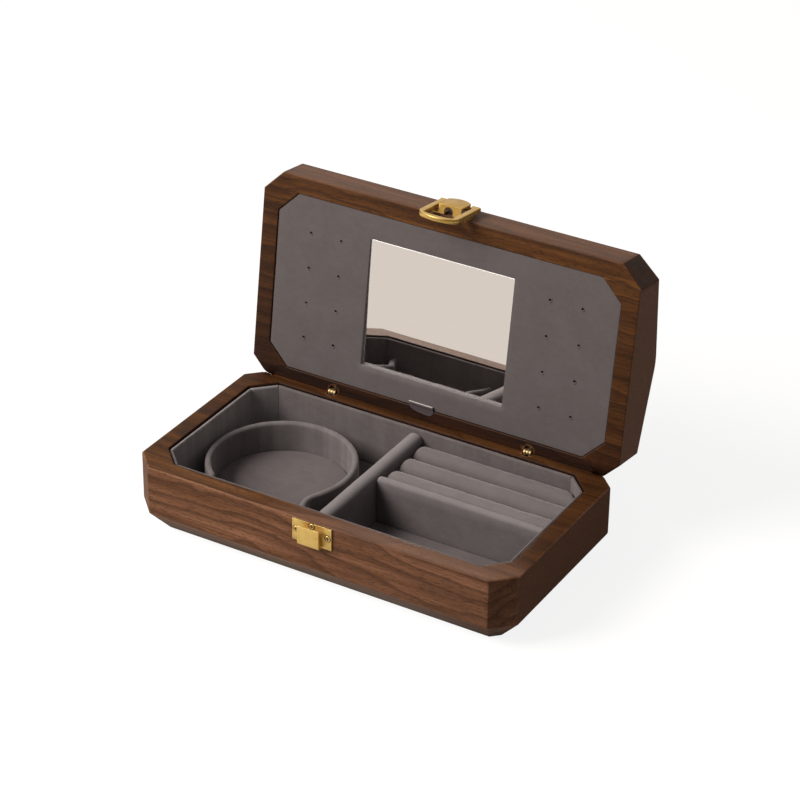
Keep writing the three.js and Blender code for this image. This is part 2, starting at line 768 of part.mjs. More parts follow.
/** Latch bracket: a flange on the lid's front wall, an arched leg, a bridge and the pin's knuckle. */
function latchBracket() {
  const wallY = -halfDepth - seatGap;
  const faceY = wallY - plateThickness;
  const bottom = lidFace + latchLift;
  let bracket = solidOf(drawBack(flangeOutline(bottom), faceY, wallY));
  const halfBridge = latchBridgeWidth / 2;
  const topY = -halfDepth - latchBridgeReach;
  const leg = block(-halfBridge, halfBridge, topY, wallY, bottom, bottom + foldThickness);
  bracket = bracket.add(solidOf(leg));
  const cornerZ = lidFace + latchTailCornerHeight;
  const bow = latchTailHeight - latchTailCornerHeight;
  const tailRadius = (halfBridge * halfBridge + bow * bow) / (2 * bow);
  const tailAngle = Math.asin(halfBridge / tailRadius);
  const bridge = new THREE.Shape();
  bridge.moveTo(-halfBridge, bottom);
  bridge.lineTo(halfBridge, bottom);
  bridge.lineTo(halfBridge, cornerZ);
  bridge.absarc(0, lidFace + latchTailHeight - tailRadius, tailRadius, Math.PI / 2 - tailAngle,
    Math.PI / 2 + tailAngle, false);
  bracket = bracket.add(solidOf(drawBack(bridge, topY, topY + foldThickness)));
  const halfKnuckle = latchKnuckleWidth / 2;
  const knuckle = barAlongX(latchKnuckleRadius, -halfKnuckle, halfKnuckle, latchPinY, latchPinZ);
  bracket = bracket.add(solidOf(knuckle));
  const web = block(-halfKnuckle, halfKnuckle, topY, latchPinY, latchPinZ - foldThickness, latchPinZ);
  bracket = bracket.add(solidOf(web));
  const halfWindow = latchWindowWidth / 2;
  const archX = latchWindowShift;
  const archY = topY + foldThickness + halfWindow;
  const window = new THREE.Shape();
  window.moveTo(archX - halfWindow, wallY + cutOverrun);
  window.lineTo(archX - halfWindow, archY);
  window.absarc(archX, archY, halfWindow, Math.PI, 2 * Math.PI, false);
  window.lineTo(archX + halfWindow, wallY + cutOverrun);
  const opening = raise(window, bottom - cutOverrun, bottom + latchWindowDepth);
  bracket = bracket.subtract(solidOf(opening));
  const bore = latchPinRadius + latchPinClearance;
  const boreEnd = halfBridge + cutOverrun;
  bracket = bracket.subtract(solidOf(barAlongX(bore, -boreEnd, boreEnd, latchPinY, latchPinZ)));
  for (const side of [-1, 1]) {
    bracket = bracket.subtract(screwSeat(side * latchScrewSpread, lidFace + latchScrewHeight));
  }
  return bracket;
}

/** The flange's outline: a strip with round corners that stands on the given height. */
function flangeOutline(bottom) {
  const half = latchFlangeWidth / 2;
  const top = bottom + latchFlangeHeight;
  const radius = latchFlangeRadius;
  const outline = new THREE.Shape();
  outline.moveTo(-half + radius, bottom);
  outline.lineTo(half - radius, bottom);
  outline.absarc(half - radius, bottom + radius, radius, -Math.PI / 2, 0, false);
  outline.absarc(half - radius, top - radius, radius, 0, Math.PI / 2, false);
  outline.absarc(-half + radius, top - radius, radius, Math.PI / 2, Math.PI, false);
  outline.absarc(-half + radius, bottom + radius, radius, Math.PI, 3 * Math.PI / 2, false);
  return outline;
}

/** The pin that the latch loop swings on. */
function latchPin() {
  return barAlongX(latchPinRadius, -loopHalfWidth, loopHalfWidth, latchPinY, latchPinZ);
}

/** One edge of the loop: straight arms joined by a bowed bar, drawn with the pin at zero. */
function loopEdge(halfSpan, cornerReach, middleReach) {
  const bow = middleReach - cornerReach;
  const radius = (halfSpan * halfSpan + bow * bow) / (2 * bow);
  const angle = Math.asin(halfSpan / radius);
  const edge = new THREE.Path();
  edge.moveTo(halfSpan, 0);
  edge.lineTo(halfSpan, -cornerReach);
  edge.absarc(0, radius - middleReach, radius, -Math.PI / 2 + angle, -Math.PI / 2 - angle, true);
  edge.lineTo(-halfSpan, 0);
  return edge.getPoints(arcSteps);
}

/** Latch loop, hanging from its pin at the loop's own origin. Its front ridge overhangs its foot. */
function latchLoop() {
  const inner = loopEdge(loopHalfWidth - loopArmWidth, loopInnerCorner, loopInnerMiddle).reverse();
  const ridge = new THREE.Shape([...loopEdge(loopHalfWidth, loopOuterCorner, loopRidgeMiddle), ...inner]);
  const foot = new THREE.Shape([...loopEdge(loopHalfWidth, loopOuterCorner, loopFootMiddle), ...inner]);
  const frontY = -loopThickness / 2;
  let loop = solidOf(drawBack(foot, frontY, loopThickness / 2));
  loop = loop.add(solidOf(drawBack(ridge, frontY, frontY + loopRidgeThickness)));
  const eyeInner = latchBridgeWidth / 2 + loopEyeClearance;
  const bore = latchPinRadius + latchPinClearance;
  for (const side of [-1, 1]) {
    const low = Math.min(side * eyeInner, side * loopHalfWidth);
    const high = Math.max(side * eyeInner, side * loopHalfWidth);
    loop = loop.add(solidOf(barAlongX(loopEyeRadius, low, high, 0, 0)));
    loop = loop.subtract(solidOf(barAlongX(bore, low - cutOverrun, high + cutOverrun, 0, 0)));
  }
  return loop;
}

/** A group turned about a line along X through a point, holding pieces drawn before the turn. */
function swing(y, z, angle) {
  const turned = new THREE.Group();
  turned.position.set(0, y, z);
  turned.rotation.x = angle;
  const drawn = new THREE.Group();
  drawn.position.set(0, -y, -z);
  turned.add(drawn);
  return { turned, drawn };
}

const box = new THREE.Group();

// Base
box.add(piece('base_shell', baseShell(), walnut));
box.add(piece('floor_board', floorBoard(), velvet));
liningNames.forEach((name, index) => box.add(piece(`lining_${name}`, liningBoard(index), velvet)));
box.add(piece('centre_divider', centreDivider(), velvet));
box.add(piece('cross_divider', crossDivider(), velvet));
for (let index = 0; index < rollCount; index += 1) {
  box.add(piece(`ring_roll_${index + 1}`, ringRoll(index), velvet));
}
box.add(piece('bangle_ring', bangleRing(), velvet));
box.add(piece('bangle_pad', banglePad(), velvet));
box.add(piece('keeper_plate', keeperPlate(), brass));
keeperScrewPlaces().forEach((place) => box.add(piece(place.name, wallScrew(place.x, place.z), brass)));

// Lid, drawn closed and swung open
const lid = swing(hingeY, hingeZ, -openAngle);
box.add(lid.turned);
lid.drawn.add(piece('lid_shell', lidShell(), walnut));
lid.drawn.add(piece('earring_panel', earringPanel(), velvet));
lid.drawn.add(piece('mirror', mirrorGlass(), mirrorSilver));
lid.drawn.add(piece('mirror_backing', mirrorBacking(), card));
lid.drawn.add(piece('pull_tab', pullTab(), ribbon));

// Latch, drawn about its own middle
const latch = new THREE.Group();
latch.position.x = latchShift;
latch.add(piece('latch_bracket', latchBracket(), brass));
latch.add(piece('latch_pin', latchPin(), brass));
const loop = new THREE.Group();
loop.position.set(0, latchPinY, latchPinZ);
loop.add(piece('latch_loop', latchLoop(), brass));
latch.add(loop);
lid.drawn.add(latch);

// Hinges and latch screws, one of each on the left and on the right
for (const [name, side] of [['left', -1], ['right', 1]]) {
  box.add(piece(`hinge_${name}_base_barrel`, baseHingeHalf(side * hingeSpread), brass));
  box.add(piece(`hinge_${name}_pin`, hingePin(side * hingeSpread), brass));
  lid.drawn.add(piece(`hinge_${name}_lid_barrel`, lidHingeHalf(side * hingeSpread), brass));
  const screw = wallScrew(side * latchScrewSpread, lidFace + latchScrewHeight);
  latch.add(piece(`latch_screw_${name}`, screw, brass));
}

export default box;
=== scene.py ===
"""Looks for an open travel jewelry box: walnut shells, velvet inside, a mirror, hinges and a brass latch.

Lengths are millimetres in the part's frame (+X along the box, +Y to the back, +Z up) and become metres when a
mesh is made. Pieces of the lid are worked out for the closed box and then swung open about the hinge line.
"""

import logging
from dataclasses import dataclass, field
from enum import Enum
from functools import cache, reduce
from typing import Callable, Optional, Sequence

import bmesh
import bpy
import numpy as np
from mathutils import Matrix, Vector

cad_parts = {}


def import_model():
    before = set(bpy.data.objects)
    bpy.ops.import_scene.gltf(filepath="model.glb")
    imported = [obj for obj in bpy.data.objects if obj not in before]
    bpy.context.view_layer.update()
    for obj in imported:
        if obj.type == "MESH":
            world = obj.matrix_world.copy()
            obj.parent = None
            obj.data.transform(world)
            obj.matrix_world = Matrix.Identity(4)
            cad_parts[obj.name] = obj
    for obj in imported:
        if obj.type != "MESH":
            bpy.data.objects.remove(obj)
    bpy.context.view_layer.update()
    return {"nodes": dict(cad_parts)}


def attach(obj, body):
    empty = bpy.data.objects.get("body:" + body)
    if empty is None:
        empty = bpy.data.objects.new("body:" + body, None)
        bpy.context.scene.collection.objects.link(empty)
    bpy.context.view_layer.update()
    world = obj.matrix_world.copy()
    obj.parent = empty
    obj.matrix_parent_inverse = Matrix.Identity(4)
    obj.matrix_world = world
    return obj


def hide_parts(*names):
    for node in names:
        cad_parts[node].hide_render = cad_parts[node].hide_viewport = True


LOG = logging.getLogger("jewelry_box")
MM = 0.001


class Body(Enum):
    """The bodies that pieces ride on."""

    BASE = "base"
    LID = "lid"
    LOOP = "loop"


class Slot(Enum):
    """The record's material slots."""

    WALNUT = "walnut"
    VELVET = "velvet"
    BRASS = "brass"
    MIRROR = "mirror"
    CARD = "card"
    RIBBON = "ribbon"


@dataclass(frozen=True)
class BoxSizes:
    """Sizes that several sub-assemblies share."""

    half_width: float = 100.0
    half_depth: float = 53.3
    corner_cut: float = 10.2
    wall: float = 8.8
    opening_cut: float = 10.5
    rim_top: float = 37.3
    lid_face: float = 37.6
    floor_top: float = 9.1
    stand: float = 9.4
    inside_half_width: float = 89.1
    inside_half_depth: float = 42.4
    hinge_y: float = 50.0
    hinge_z: float = 37.45
    open_angle: float = np.radians(98.0)
    hinge_spread: float = 53.5
    barrel_y: float = 49.2
    latch_x: float = 0.4

    @property
    def opening_half_width(self) -> float:
        """Half the width of the openings in both shells."""
        return self.half_width - self.wall

    @property
    def opening_half_depth(self) -> float:
        """Half the depth of the openings in both shells."""
        return self.half_depth - self.wall

    def standing(self, drop: float) -> float:
        """Height of a piece that stands in the tray with its top a drop below the rim."""
        return self.rim_top - drop - self.stand

    def swung(self, points: np.ndarray) -> np.ndarray:
        """Turns points of the closed lid about the hinge line to where they are with the lid open."""
        return self.turned(points, -self.open_angle)

    def turned(self, points: np.ndarray, angle: float) -> np.ndarray:
        """Turns points about the hinge line.

        Args:
            points: places with the three coordinates last.
            angle: angle in radians. The open angle turns the open lid's points shut.

        Returns:
            The places turned: the new y is the cosine times y less the sine times z, and the new z is the
            sine times y plus the cosine times z, both counted from the hinge line.
        """
        cos, sin = np.cos(angle), np.sin(angle)
        y = points[..., 1] - self.hinge_y
        z = points[..., 2] - self.hinge_z
        turned = np.array(points, dtype=float)
        turned[..., 1] = self.hinge_y + y * cos - z * sin
        turned[..., 2] = self.hinge_z + y * sin + z * cos
        return turned


SIZES = BoxSizes()


# Shapes worked out as arrays


def ramp(value: np.ndarray, start: float, width: float) -> np.ndarray:
    """A straight rise from 0 at the start to 1 a width further on, level outside them."""
    return np.clip((value - start) / width, 0, 1)


def hump(value: np.ndarray, middle: float, width: float) -> np.ndarray:
    """A bell curve: e to the power of less the square of the distance from the middle in widths."""
    return np.exp(-(((value - middle) / width) ** 2))


def raised(plan: np.ndarray, height: np.ndarray) -> np.ndarray:
    """Points in plan with their heights as third coordinate."""
    return np.concatenate([plan, height[..., None]], axis=-1)


def curve(share: np.ndarray, first: np.ndarray, middle: np.ndarray, last: np.ndarray) -> np.ndarray:
    """A curve that starts at the first point, leans towards the middle one and ends at the last.

    With s for a share of the way, its point is (1 - s) squared times the first, 2 s (1 - s) times the middle
    and s squared times the last. The shares come as a column.
    """
    return (1 - share) ** 2 * first + 2 * share * (1 - share) * middle + share**2 * last


def run_along(line: np.ndarray) -> np.ndarray:
    """Distance of each point of a line from its start, measured along the line."""
    return np.concatenate([[0], np.cumsum(np.linalg.norm(np.diff(line, axis=0), axis=-1))])


def left_of(line: np.ndarray, *run: np.ndarray) -> np.ndarray:
    """Unit directions to the left of a line, by its slope over the points or over the run that is given."""
    way = np.gradient(line, *run, axis=0)
    way /= np.linalg.norm(way, axis=-1, keepdims=True)
    return np.stack([-way[:, 1], way[:, 0]], axis=-1)


def inset_cut(cut: float, inset: np.ndarray) -> np.ndarray:
    """The leg of a cut corner after every side moves in: the leg less the inset times (2 - root of 2)."""
    return cut - inset * (2 - np.sqrt(2))


def corner_spots(half_x: float, half_y: float, cut: float, inset: np.ndarray) -> np.ndarray:
    """The eight corners of a rectangle with cut corners after its sides move in.

    Args:
        half_x: half the outer width.
        half_y: half the outer depth.
        cut: leg of the cut corners before the sides move in.
        inset: how far the sides move in, one or several distances.

    Returns:
        Points as an array of insets, corners and (x, y), anticlockwise from the left end of the front side.
    """
    inset = np.atleast_1d(np.asarray(inset, dtype=float))[:, None]
    leg = inset_cut(cut, inset)
    signs = np.array([[-1, -1], [1, -1], [1, -1], [1, 1], [1, 1], [-1, 1], [-1, 1], [-1, -1]], dtype=float)
    on_long_side = np.array([1, 1, 0, 0, 1, 1, 0, 0], dtype=float)
    x = signs[:, 0] * (half_x - inset - on_long_side * leg)
    y = signs[:, 1] * (half_y - inset - (1 - on_long_side) * leg)
    return np.stack([x, y], axis=-1)


def soften(corners: Sequence[tuple[float, float, float]], steps: int = 5) -> tuple[np.ndarray, np.ndarray]:
    """Rounds the corners of an open line: each gives way to a curve from one tangent point to the other.

    Args:
        corners: (across, up, radius) of each corner. A radius of 0 keeps a single point.
        steps: how many pieces each rounded corner has.

    Returns:
        The points of the line, and for each point 1 at the middle of a rounded corner falling to 0 off it.
    """
    spots = np.array([corner[:2] for corner in corners], dtype=float)
    share = np.linspace(0, 1, steps + 1)[:, None]
    line: list[np.ndarray] = []
    edge: list[np.ndarray] = []
    for index, (across, up, radius) in enumerate(corners):
        if radius == 0 or index in (0, len(corners) - 1):
            line.append(spots[index][None])
            edge.append(np.zeros(1))
            continue
        spot = np.array([across, up])
        behind = spots[index - 1] - spot
        ahead = spots[index + 1] - spot
        start = spot + behind / np.linalg.norm(behind) * radius
        end = spot + ahead / np.linalg.norm(ahead) * radius
        line.append(curve(share, start, spot, end))
        edge.append(np.sin(np.pi * share[:, 0]))
    return np.concatenate(line), np.concatenate(edge)


# Pieces of each straight side of a cut-corner loop, from the front one anticlockwise, and of each corner
SIDE_STEPS = (100, 8, 46, 8, 100, 8, 46, 8)
CORNER_STEPS = 4


def cut_corner_loops(
    half_x: float, half_y: float, cut: float, inset: np.ndarray, radius: float
) -> tuple[np.ndarray, np.ndarray]:
    """Loops round a rectangle with cut and slightly rounded corners, one loop for each inset.

    Args:
        half_x: half the outer width.
        half_y: half the outer depth.
        cut: leg of the cut corners of the outer loop.
        inset: how far each loop lies inside the outer one.
        radius: radius of the rounding of all eight corners.

    Returns:
        Points as an array of loops, places and (x, y), anticlockwise from above, and for each place 1 at the
        middle of a rounded corner falling to 0 off it.
    """
    spots = corner_spots(half_x, half_y, cut, inset)
    ahead = np.roll(spots, -1, axis=1) - spots
    ahead /= np.linalg.norm(ahead, axis=-1, keepdims=True)
    behind = np.roll(ahead, 1, axis=1)
    reach = radius * np.tan(np.pi / 8)
    start, end = spots - behind * reach, spots + ahead * reach
    share = np.linspace(0, 1, CORNER_STEPS + 1)[:, None]
    parts: list[np.ndarray] = []
    marks: list[np.ndarray] = []
    for side, steps in enumerate(SIDE_STEPS):
        last = end[:, side, None]
        parts.append(curve(share, start[:, side, None], spots[:, side, None], last))
        marks.append(np.sin(np.pi * share[:, 0]))
        between = np.linspace(0, 1, steps + 1)[1:-1, None]
        parts.append(last * (1 - between) + start[:, (side + 1) % 8, None] * between)
        marks.append(np.zeros(steps - 1))
    return np.concatenate(parts, axis=1), np.concatenate(marks)


def grid_faces(rows: int, columns: int, rows_close: bool, columns_close: bool) -> np.ndarray:
    """Four-cornered faces of a grid of points numbered row by row.

    Args:
        rows: number of rows.
        columns: number of columns.
        rows_close: whether the last row joins the first.
        columns_close: whether the last column joins the first.

    Returns:
        One line of four point numbers for each face, wound along the columns and then along the rows.
    """
    row = np.arange(rows if rows_close else rows - 1)[:, None]
    column = np.arange(columns if columns_close else columns - 1)[None, :]
    next_row, next_column = (row + 1) % rows, (column + 1) % columns
    corners = [
        row * columns + column,
        row * columns + next_column,
        next_row * columns + next_column,
        next_row * columns + column,
    ]
    return np.stack(corners, axis=-1).reshape(-1, 4)


@dataclass
class Surface:
    """A closed surface: points in millimetres, faces, and values that its material reads.

    Attributes:
        points: array of places and (x, y, z).
        quads: array of four-cornered faces.
        caps: longer faces that close the ends.
        values: named numbers, one for each point.
    """

    points: np.ndarray
    quads: np.ndarray
    caps: list[np.ndarray] = field(default_factory=list)
    values: dict[str, np.ndarray] = field(default_factory=dict)

    @staticmethod
    def from_grid(
        grid: np.ndarray, rows_close: bool = False, values: Optional[dict[str, np.ndarray]] = None
    ) -> "Surface":
        """Makes a surface from rows that are closed loops.

        Args:
            grid: array of rows, columns and (x, y, z). Each row is a closed loop.
            rows_close: whether the last row joins the first, as round a tube bent into a ring. Otherwise the
                first and the last row each get a face.
            values: named arrays of rows and columns.

        Returns:
            The surface, with its faces outwards when a row's direction crossed with the way to the next row
            points outwards.
        """
        rows, columns = grid.shape[:2]
        quads = grid_faces(rows, columns, rows_close, True)
        caps: list[np.ndarray] = []
        if not rows_close:
            caps = [np.arange(columns)[::-1], np.arange(columns) + (rows - 1) * columns]
        shape = (rows, columns)
        flat = {name: np.broadcast_to(value, shape).reshape(-1) for name, value in (values or {}).items()}
        return Surface(grid.reshape(-1, 3), quads, caps, flat)

    def joined(self, other: "Surface") -> "Surface":
        """Both surfaces as one, side by side."""
        shift = len(self.points)
        values = {
            name: np.concatenate([one.values.get(name, np.zeros(len(one.points))) for one in (self, other)])
            for name in set(self.values) | set(other.values)
        }
        return Surface(
            np.concatenate([self.points, other.points]),
            np.concatenate([self.quads, other.quads + shift]),
            self.caps + [cap + shift for cap in other.caps],
            values,
        )

    def moved(self, change: Callable[[np.ndarray], np.ndarray]) -> "Surface":
        """The surface with its points put through a change."""
        return Surface(change(self.points), self.quads, self.caps, self.values)


def add_object(name: str, data: bpy.types.ID) -> bpy.types.Object:
    """A new object, linked to the scene."""
    made = bpy.data.objects.new(name, data)
    bpy.context.scene.collection.objects.link(made)
    return made


def put_mesh(name: str, surface: Surface, sharp_angle: float = 35.0) -> bpy.types.Object:
    """Makes an object of a surface, in metres, with its place in its mesh.

    Args:
        name: the object's name.
        surface: the shape.
        sharp_angle: edges that bend by more than this many degrees stay sharp.

    Returns:
        The new object, linked to the scene.
    """
    mesh = bpy.data.meshes.new(name)
    corners = [surface.quads.reshape(-1), *surface.caps]
    totals = np.array([4] * len(surface.quads) + [len(cap) for cap in surface.caps], dtype=np.int32)
    starts = np.concatenate([[0], np.cumsum(totals)[:-1]]).astype(np.int32)
    mesh.vertices.add(len(surface.points))
    mesh.vertices.foreach_set("co", (surface.points * MM).astype(np.float32).reshape(-1))
    mesh.loops.add(int(totals.sum()))
    mesh.loops.foreach_set("vertex_index", np.concatenate(corners).astype(np.int32))
    mesh.polygons.add(len(totals))
    mesh.polygons.foreach_set("loop_start", starts)
    mesh.polygons.foreach_set("use_smooth", np.ones(len(totals), dtype=bool))
    for key, value in surface.values.items():
        write_value(mesh, key, value)
    mesh.update(calc_edges=True)
    mesh.validate()
    made = add_object(name, mesh)
    mend(made, sharp_angle)
    return made


def write_value(mesh: bpy.types.Mesh, name: str, value: np.ndarray) -> None:
    """Writes a named number for each point of a mesh, for its material to read."""
    mesh.attributes.new(name, "FLOAT", "POINT").data.foreach_set("value", value.astype(np.float32))


def points_of(piece: bpy.types.Object) -> np.ndarray:
    """A piece's points in millimetres."""
    flat = np.zeros(len(piece.data.vertices) * 3, dtype=np.float32)
    piece.data.vertices.foreach_get("co", flat)
    return flat.reshape(-1, 3).astype(float) / MM


def baked(piece: bpy.types.Object) -> bpy.types.Mesh:
    """A new mesh of a piece as its modifiers make it."""
    bpy.context.view_layer.update()
    return bpy.data.meshes.new_from_object(piece.evaluated_get(bpy.context.evaluated_depsgraph_get()))


def mend(piece: bpy.types.Object, sharp_angle: float) -> None:
    """Merges doubled points, drops faces without area and marks the sharp edges.

    Args:
        piece: a mesh object.
        sharp_angle: edges that bend by more than this many degrees stay sharp.
    """
    work = bmesh.new()
    work.from_mesh(piece.data)
    bmesh.ops.remove_doubles(work, verts=work.verts, dist=1e-7)
    bmesh.ops.dissolve_degenerate(work, edges=work.edges, dist=1e-8)
    work.to_mesh(piece.data)
    work.free()
    piece.data.set_sharp_from_angle(angle=np.radians(sharp_angle))


def cut_away(piece: bpy.types.Object, tool: bpy.types.Object, sharp_angle: float = 35.0) -> None:
    """Cuts one object's shape out of another, keeps the result in the mesh and removes the tool.

    Args:
        piece: the object that loses material.
        tool: the closed shape that is taken away.
        sharp_angle: edges that bend by more than this many degrees stay sharp.
    """
    cut = piece.modifiers.new("cut", "BOOLEAN")
    cut.operation = "DIFFERENCE"
    cut.solver = "EXACT"
    cut.object = tool
    result = baked(piece)
    piece.modifiers.remove(cut)
    old = piece.data
    piece.data = result
    result.name = piece.name
    bpy.data.meshes.remove(old)
    bpy.data.objects.remove(tool)
    piece.data.set_sharp_from_angle(angle=np.radians(sharp_angle))


def round_bar(start: np.ndarray, end: np.ndarray, radius: float, steps: int = 32) -> Surface:
    """A round bar between two points.

    Each ring holds the end point plus the radius times the cosine of a turn along one direction square to the
    bar and the radius times its sine along the other.

    Args:
        start: middle of the first end.
        end: middle of the last end.
        radius: the bar's radius.
        steps: sides of the bar.

    Returns:
        The closed bar.
    """
    start, end = np.asarray(start, float), np.asarray(end, float)
    along = (end - start) / np.linalg.norm(end - start)
    side = np.cross(along, [0.31, 0.17, 0.94])
    side /= np.linalg.norm(side)
    other = np.cross(along, side)
    turn = np.arange(steps) / steps * 2 * np.pi
    ring = radius * (np.cos(turn)[:, None] * side + np.sin(turn)[:, None] * other)
    return Surface.from_grid(np.stack([start + ring, end + ring]))


def turned_shape(profile: np.ndarray) -> Surface:
    """A profile turned about the X axis: each row is a circle of the profile's radius at its distance.

    Args:
        profile: rows of (radius, distance along the axis), both ends with a radius above zero.

    Returns:
        The closed surface.
    """
    steps = 40
    turn = np.arange(steps) / steps * 2 * np.pi
    radius, along = profile[:, :1], np.broadcast_to(profile[:, 1:], (len(profile), steps))
    return Surface.from_grid(np.stack([along, radius * np.cos(turn), radius * np.sin(turn)], axis=-1))


def soft_stations(low: float, high: float, radius: float, spacing: float) -> tuple[np.ndarray, np.ndarray]:
    """Places along a padded bar, close together at its rounded ends.

    Args:
        low: the bar's one end.
        high: its other end.
        radius: length over which each end is rounded.
        spacing: distance between places away from the ends.

    Returns:
        The places, and for each its slack: 1 at the very end, falling to 0 by one less the sine of the turn.
    """
    turn = np.linspace(0, np.pi / 2, 7)
    inset = radius * (1 - np.cos(turn))
    count = max(int((high - low - 2 * radius) / spacing), 2)
    middle = np.linspace(low + radius, high - radius, count + 1)[1:-1]
    places = np.concatenate([low + inset, middle, (high - inset)[::-1]])
    slack = np.concatenate([1 - np.sin(turn), np.zeros(len(middle)), (1 - np.sin(turn))[::-1]])
    return places, slack


def round_topped(width: float, height: float, crown: float, foot: float = 0.5, steps: int = 16) -> np.ndarray:
    """An end view with a half-oval top and softened feet, centred across and standing on zero.

    The top is half the width times the cosine of a turn across, and the wall's height plus the crown times
    its sine up. It is wound anticlockwise with across to the right and up upwards.

    Args:
        width: the view's width.
        height: its height with the crown.
        crown: height of the half-oval top.
        foot: radius of the two lower corners.
        steps: pieces of the top.

    Returns:
        The points of the view as (across, up).
    """
    half = width / 2
    quarter = np.linspace(0, np.pi / 2, 4)
    right = np.stack([half - foot + foot * np.sin(quarter), foot - foot * np.cos(quarter)], -1)
    left = np.stack([-half + foot - foot * np.cos(quarter), foot - foot * np.sin(quarter)], -1)
    wall = np.linspace(foot, height - crown, 6)[1:-1]
    turn = np.linspace(0, np.pi, steps + 1)
    top = np.stack([half * np.cos(turn), height - crown + crown * np.sin(turn)], -1)
    rising = np.stack([np.full(4, half), wall], -1)
    falling = np.stack([np.full(4, -half), wall[::-1]], -1)
    return np.concatenate([right, rising, top, falling, left])


def ripple(points: np.ndarray, size: float, seed: int) -> np.ndarray:
    """Smooth unevenness from -1 to 1: the mean of six sine waves in fixed directions that the seed picks.

    Args:
        points: places, with the coordinates last.
        size: length of a typical wave.
        seed: which set of waves is used.

    Returns:
        One number for each place.
    """
    dice = np.random.default_rng(seed)
    direction = dice.normal(size=(6, points.shape[-1]))
    direction /= np.linalg.norm(direction, axis=-1, keepdims=True)
    pitch = size * dice.uniform(0.6, 1.6, 6)
    phase = dice.uniform(0, 2 * np.pi, 6)
    return np.sin(2 * np.pi * (points @ direction.T) / pitch + phase).mean(axis=-1)


# Node helpers and shared effects


def colour(code: str) -> tuple[float, float, float, float]:
    """A hex colour as the linear numbers that shaders use: each channel to the power of about 2.2."""
    value = np.array([int(code[i : i + 2], 16) for i in (0, 2, 4)]) / 255
    linear = np.where(value <= 0.04045, value / 12.92, ((value + 0.055) / 1.055) ** 2.4)
    return (float(linear[0]), float(linear[1]), float(linear[2]), 1.0)


class Graph:
    """A thin wrapper that adds and joins nodes of one tree."""

    def __init__(self, tree: bpy.types.NodeTree) -> None:
        """Takes the tree that nodes are added to."""
        self.tree = tree

    def add(self, kind: str, **settings: object) -> bpy.types.Node:
        """Adds a node of a kind and sets its own properties."""
        node = self.tree.nodes.new(kind)
        for key, value in settings.items():
            setattr(node, key, value)
        return node

    def link(self, source: bpy.types.NodeSocket, target: bpy.types.NodeSocket) -> None:
        """Joins an output to an input."""
        self.tree.links.new(source, target)

    def feed(self, target: bpy.types.NodeSocket, value: object) -> None:
        """Joins a socket to an input, or sets the input to a plain value."""
        if isinstance(value, bpy.types.NodeSocket):
            self.link(value, target)
        else:
            target.default_value = value

    def fill(self, node: bpy.types.Node, values: dict[str, object]) -> bpy.types.Node:
        """Feeds several inputs of a node by their names."""
        for name, value in values.items():
            self.feed(node.inputs[name], value)
        return node

    def group(self, tree: bpy.types.NodeTree, values: dict[str, object]) -> bpy.types.Node:
        """Adds a group node and feeds its inputs."""
        return self.fill(self.add("ShaderNodeGroup", node_tree=tree), values)

    def value_of(self, name: str) -> bpy.types.NodeSocket:
        """A piece's own named value."""
        return self.add("ShaderNodeAttribute", attribute_name=name).outputs["Fac"]

    def split(self, vector: bpy.types.NodeSocket) -> bpy.types.NodeOutputs:
        """A vector's three parts."""
        node = self.add("ShaderNodeSeparateXYZ")
        self.link(vector, node.inputs[0])
        return node.outputs

    def maths(
        self, operation: str, first: object, second: object = 0.0, third: object = 0.0
    ) -> bpy.types.NodeSocket:
        """A Math node's result. Each input is a socket or a number."""
        node = self.add("ShaderNodeMath", operation=operation)
        for index, value in enumerate((first, second, third)):
            self.feed(node.inputs[index], value)
        return node.outputs[0]

    def spread(
        self, value: object, low: float, high: float, to_low: float = 0.0, to_high: float = 1.0
    ) -> bpy.types.NodeSocket:
        """A smooth rise from one value to another as the input goes from low to high."""
        node = self.add("ShaderNodeMapRange", interpolation_type="SMOOTHSTEP")
        given = {"From Min": low, "From Max": high, "To Min": to_low, "To Max": to_high, "Value": value}
        return self.fill(node, given).outputs["Result"]

    def blend(self, share: object, first: object, second: object, kind: str = "MIX") -> bpy.types.NodeSocket:
        """Mixes two colours: a share of 0 gives the first one and a share of 1 the second."""
        node = self.add("ShaderNodeMix", data_type="RGBA", blend_type=kind, clamp_factor=True)
        self.feed(node.inputs[0], share)
        self.feed(node.inputs[6], first)
        self.feed(node.inputs[7], second)
        return node.outputs[2]

    def stretched(self, vector: object, scale: tuple[float, float, float]) -> bpy.types.NodeSocket:
        """A vector multiplied along each axis."""
        node = self.add("ShaderNodeVectorMath", operation="MULTIPLY")
        self.feed(node.inputs[0], vector)
        node.inputs[1].default_value = scale
        return node.outputs[0]

    def noise(
        self, vector: object, scale: float, detail: float, roughness: float, distortion: float = 0.0
    ) -> bpy.types.NodeSocket:
        """A Noise texture's value."""
        given = {"Vector": vector, "Scale": scale, "Detail": detail, "Roughness": roughness}
        node = self.fill(self.add("ShaderNodeTexNoise"), {**given, "Distortion": distortion})
        return node.outputs["Fac"]

    def drawn_out(
        self, vector: object, scale: tuple[float, float, float], detail: float, roughness: float
    ) -> bpy.types.NodeSocket:
        """A Noise texture with its own scale along each axis."""
        return self.noise(self.stretched(vector, scale), 1.0, detail, roughness)

    def sway(self, base: object, noise: bpy.types.NodeSocket, reach: float) -> bpy.types.NodeSocket:
        """A value plus noise about zero: the base plus the reach times the noise less a half."""
        return self.maths("MULTIPLY_ADD", self.maths("SUBTRACT", noise, 0.5), reach, base)


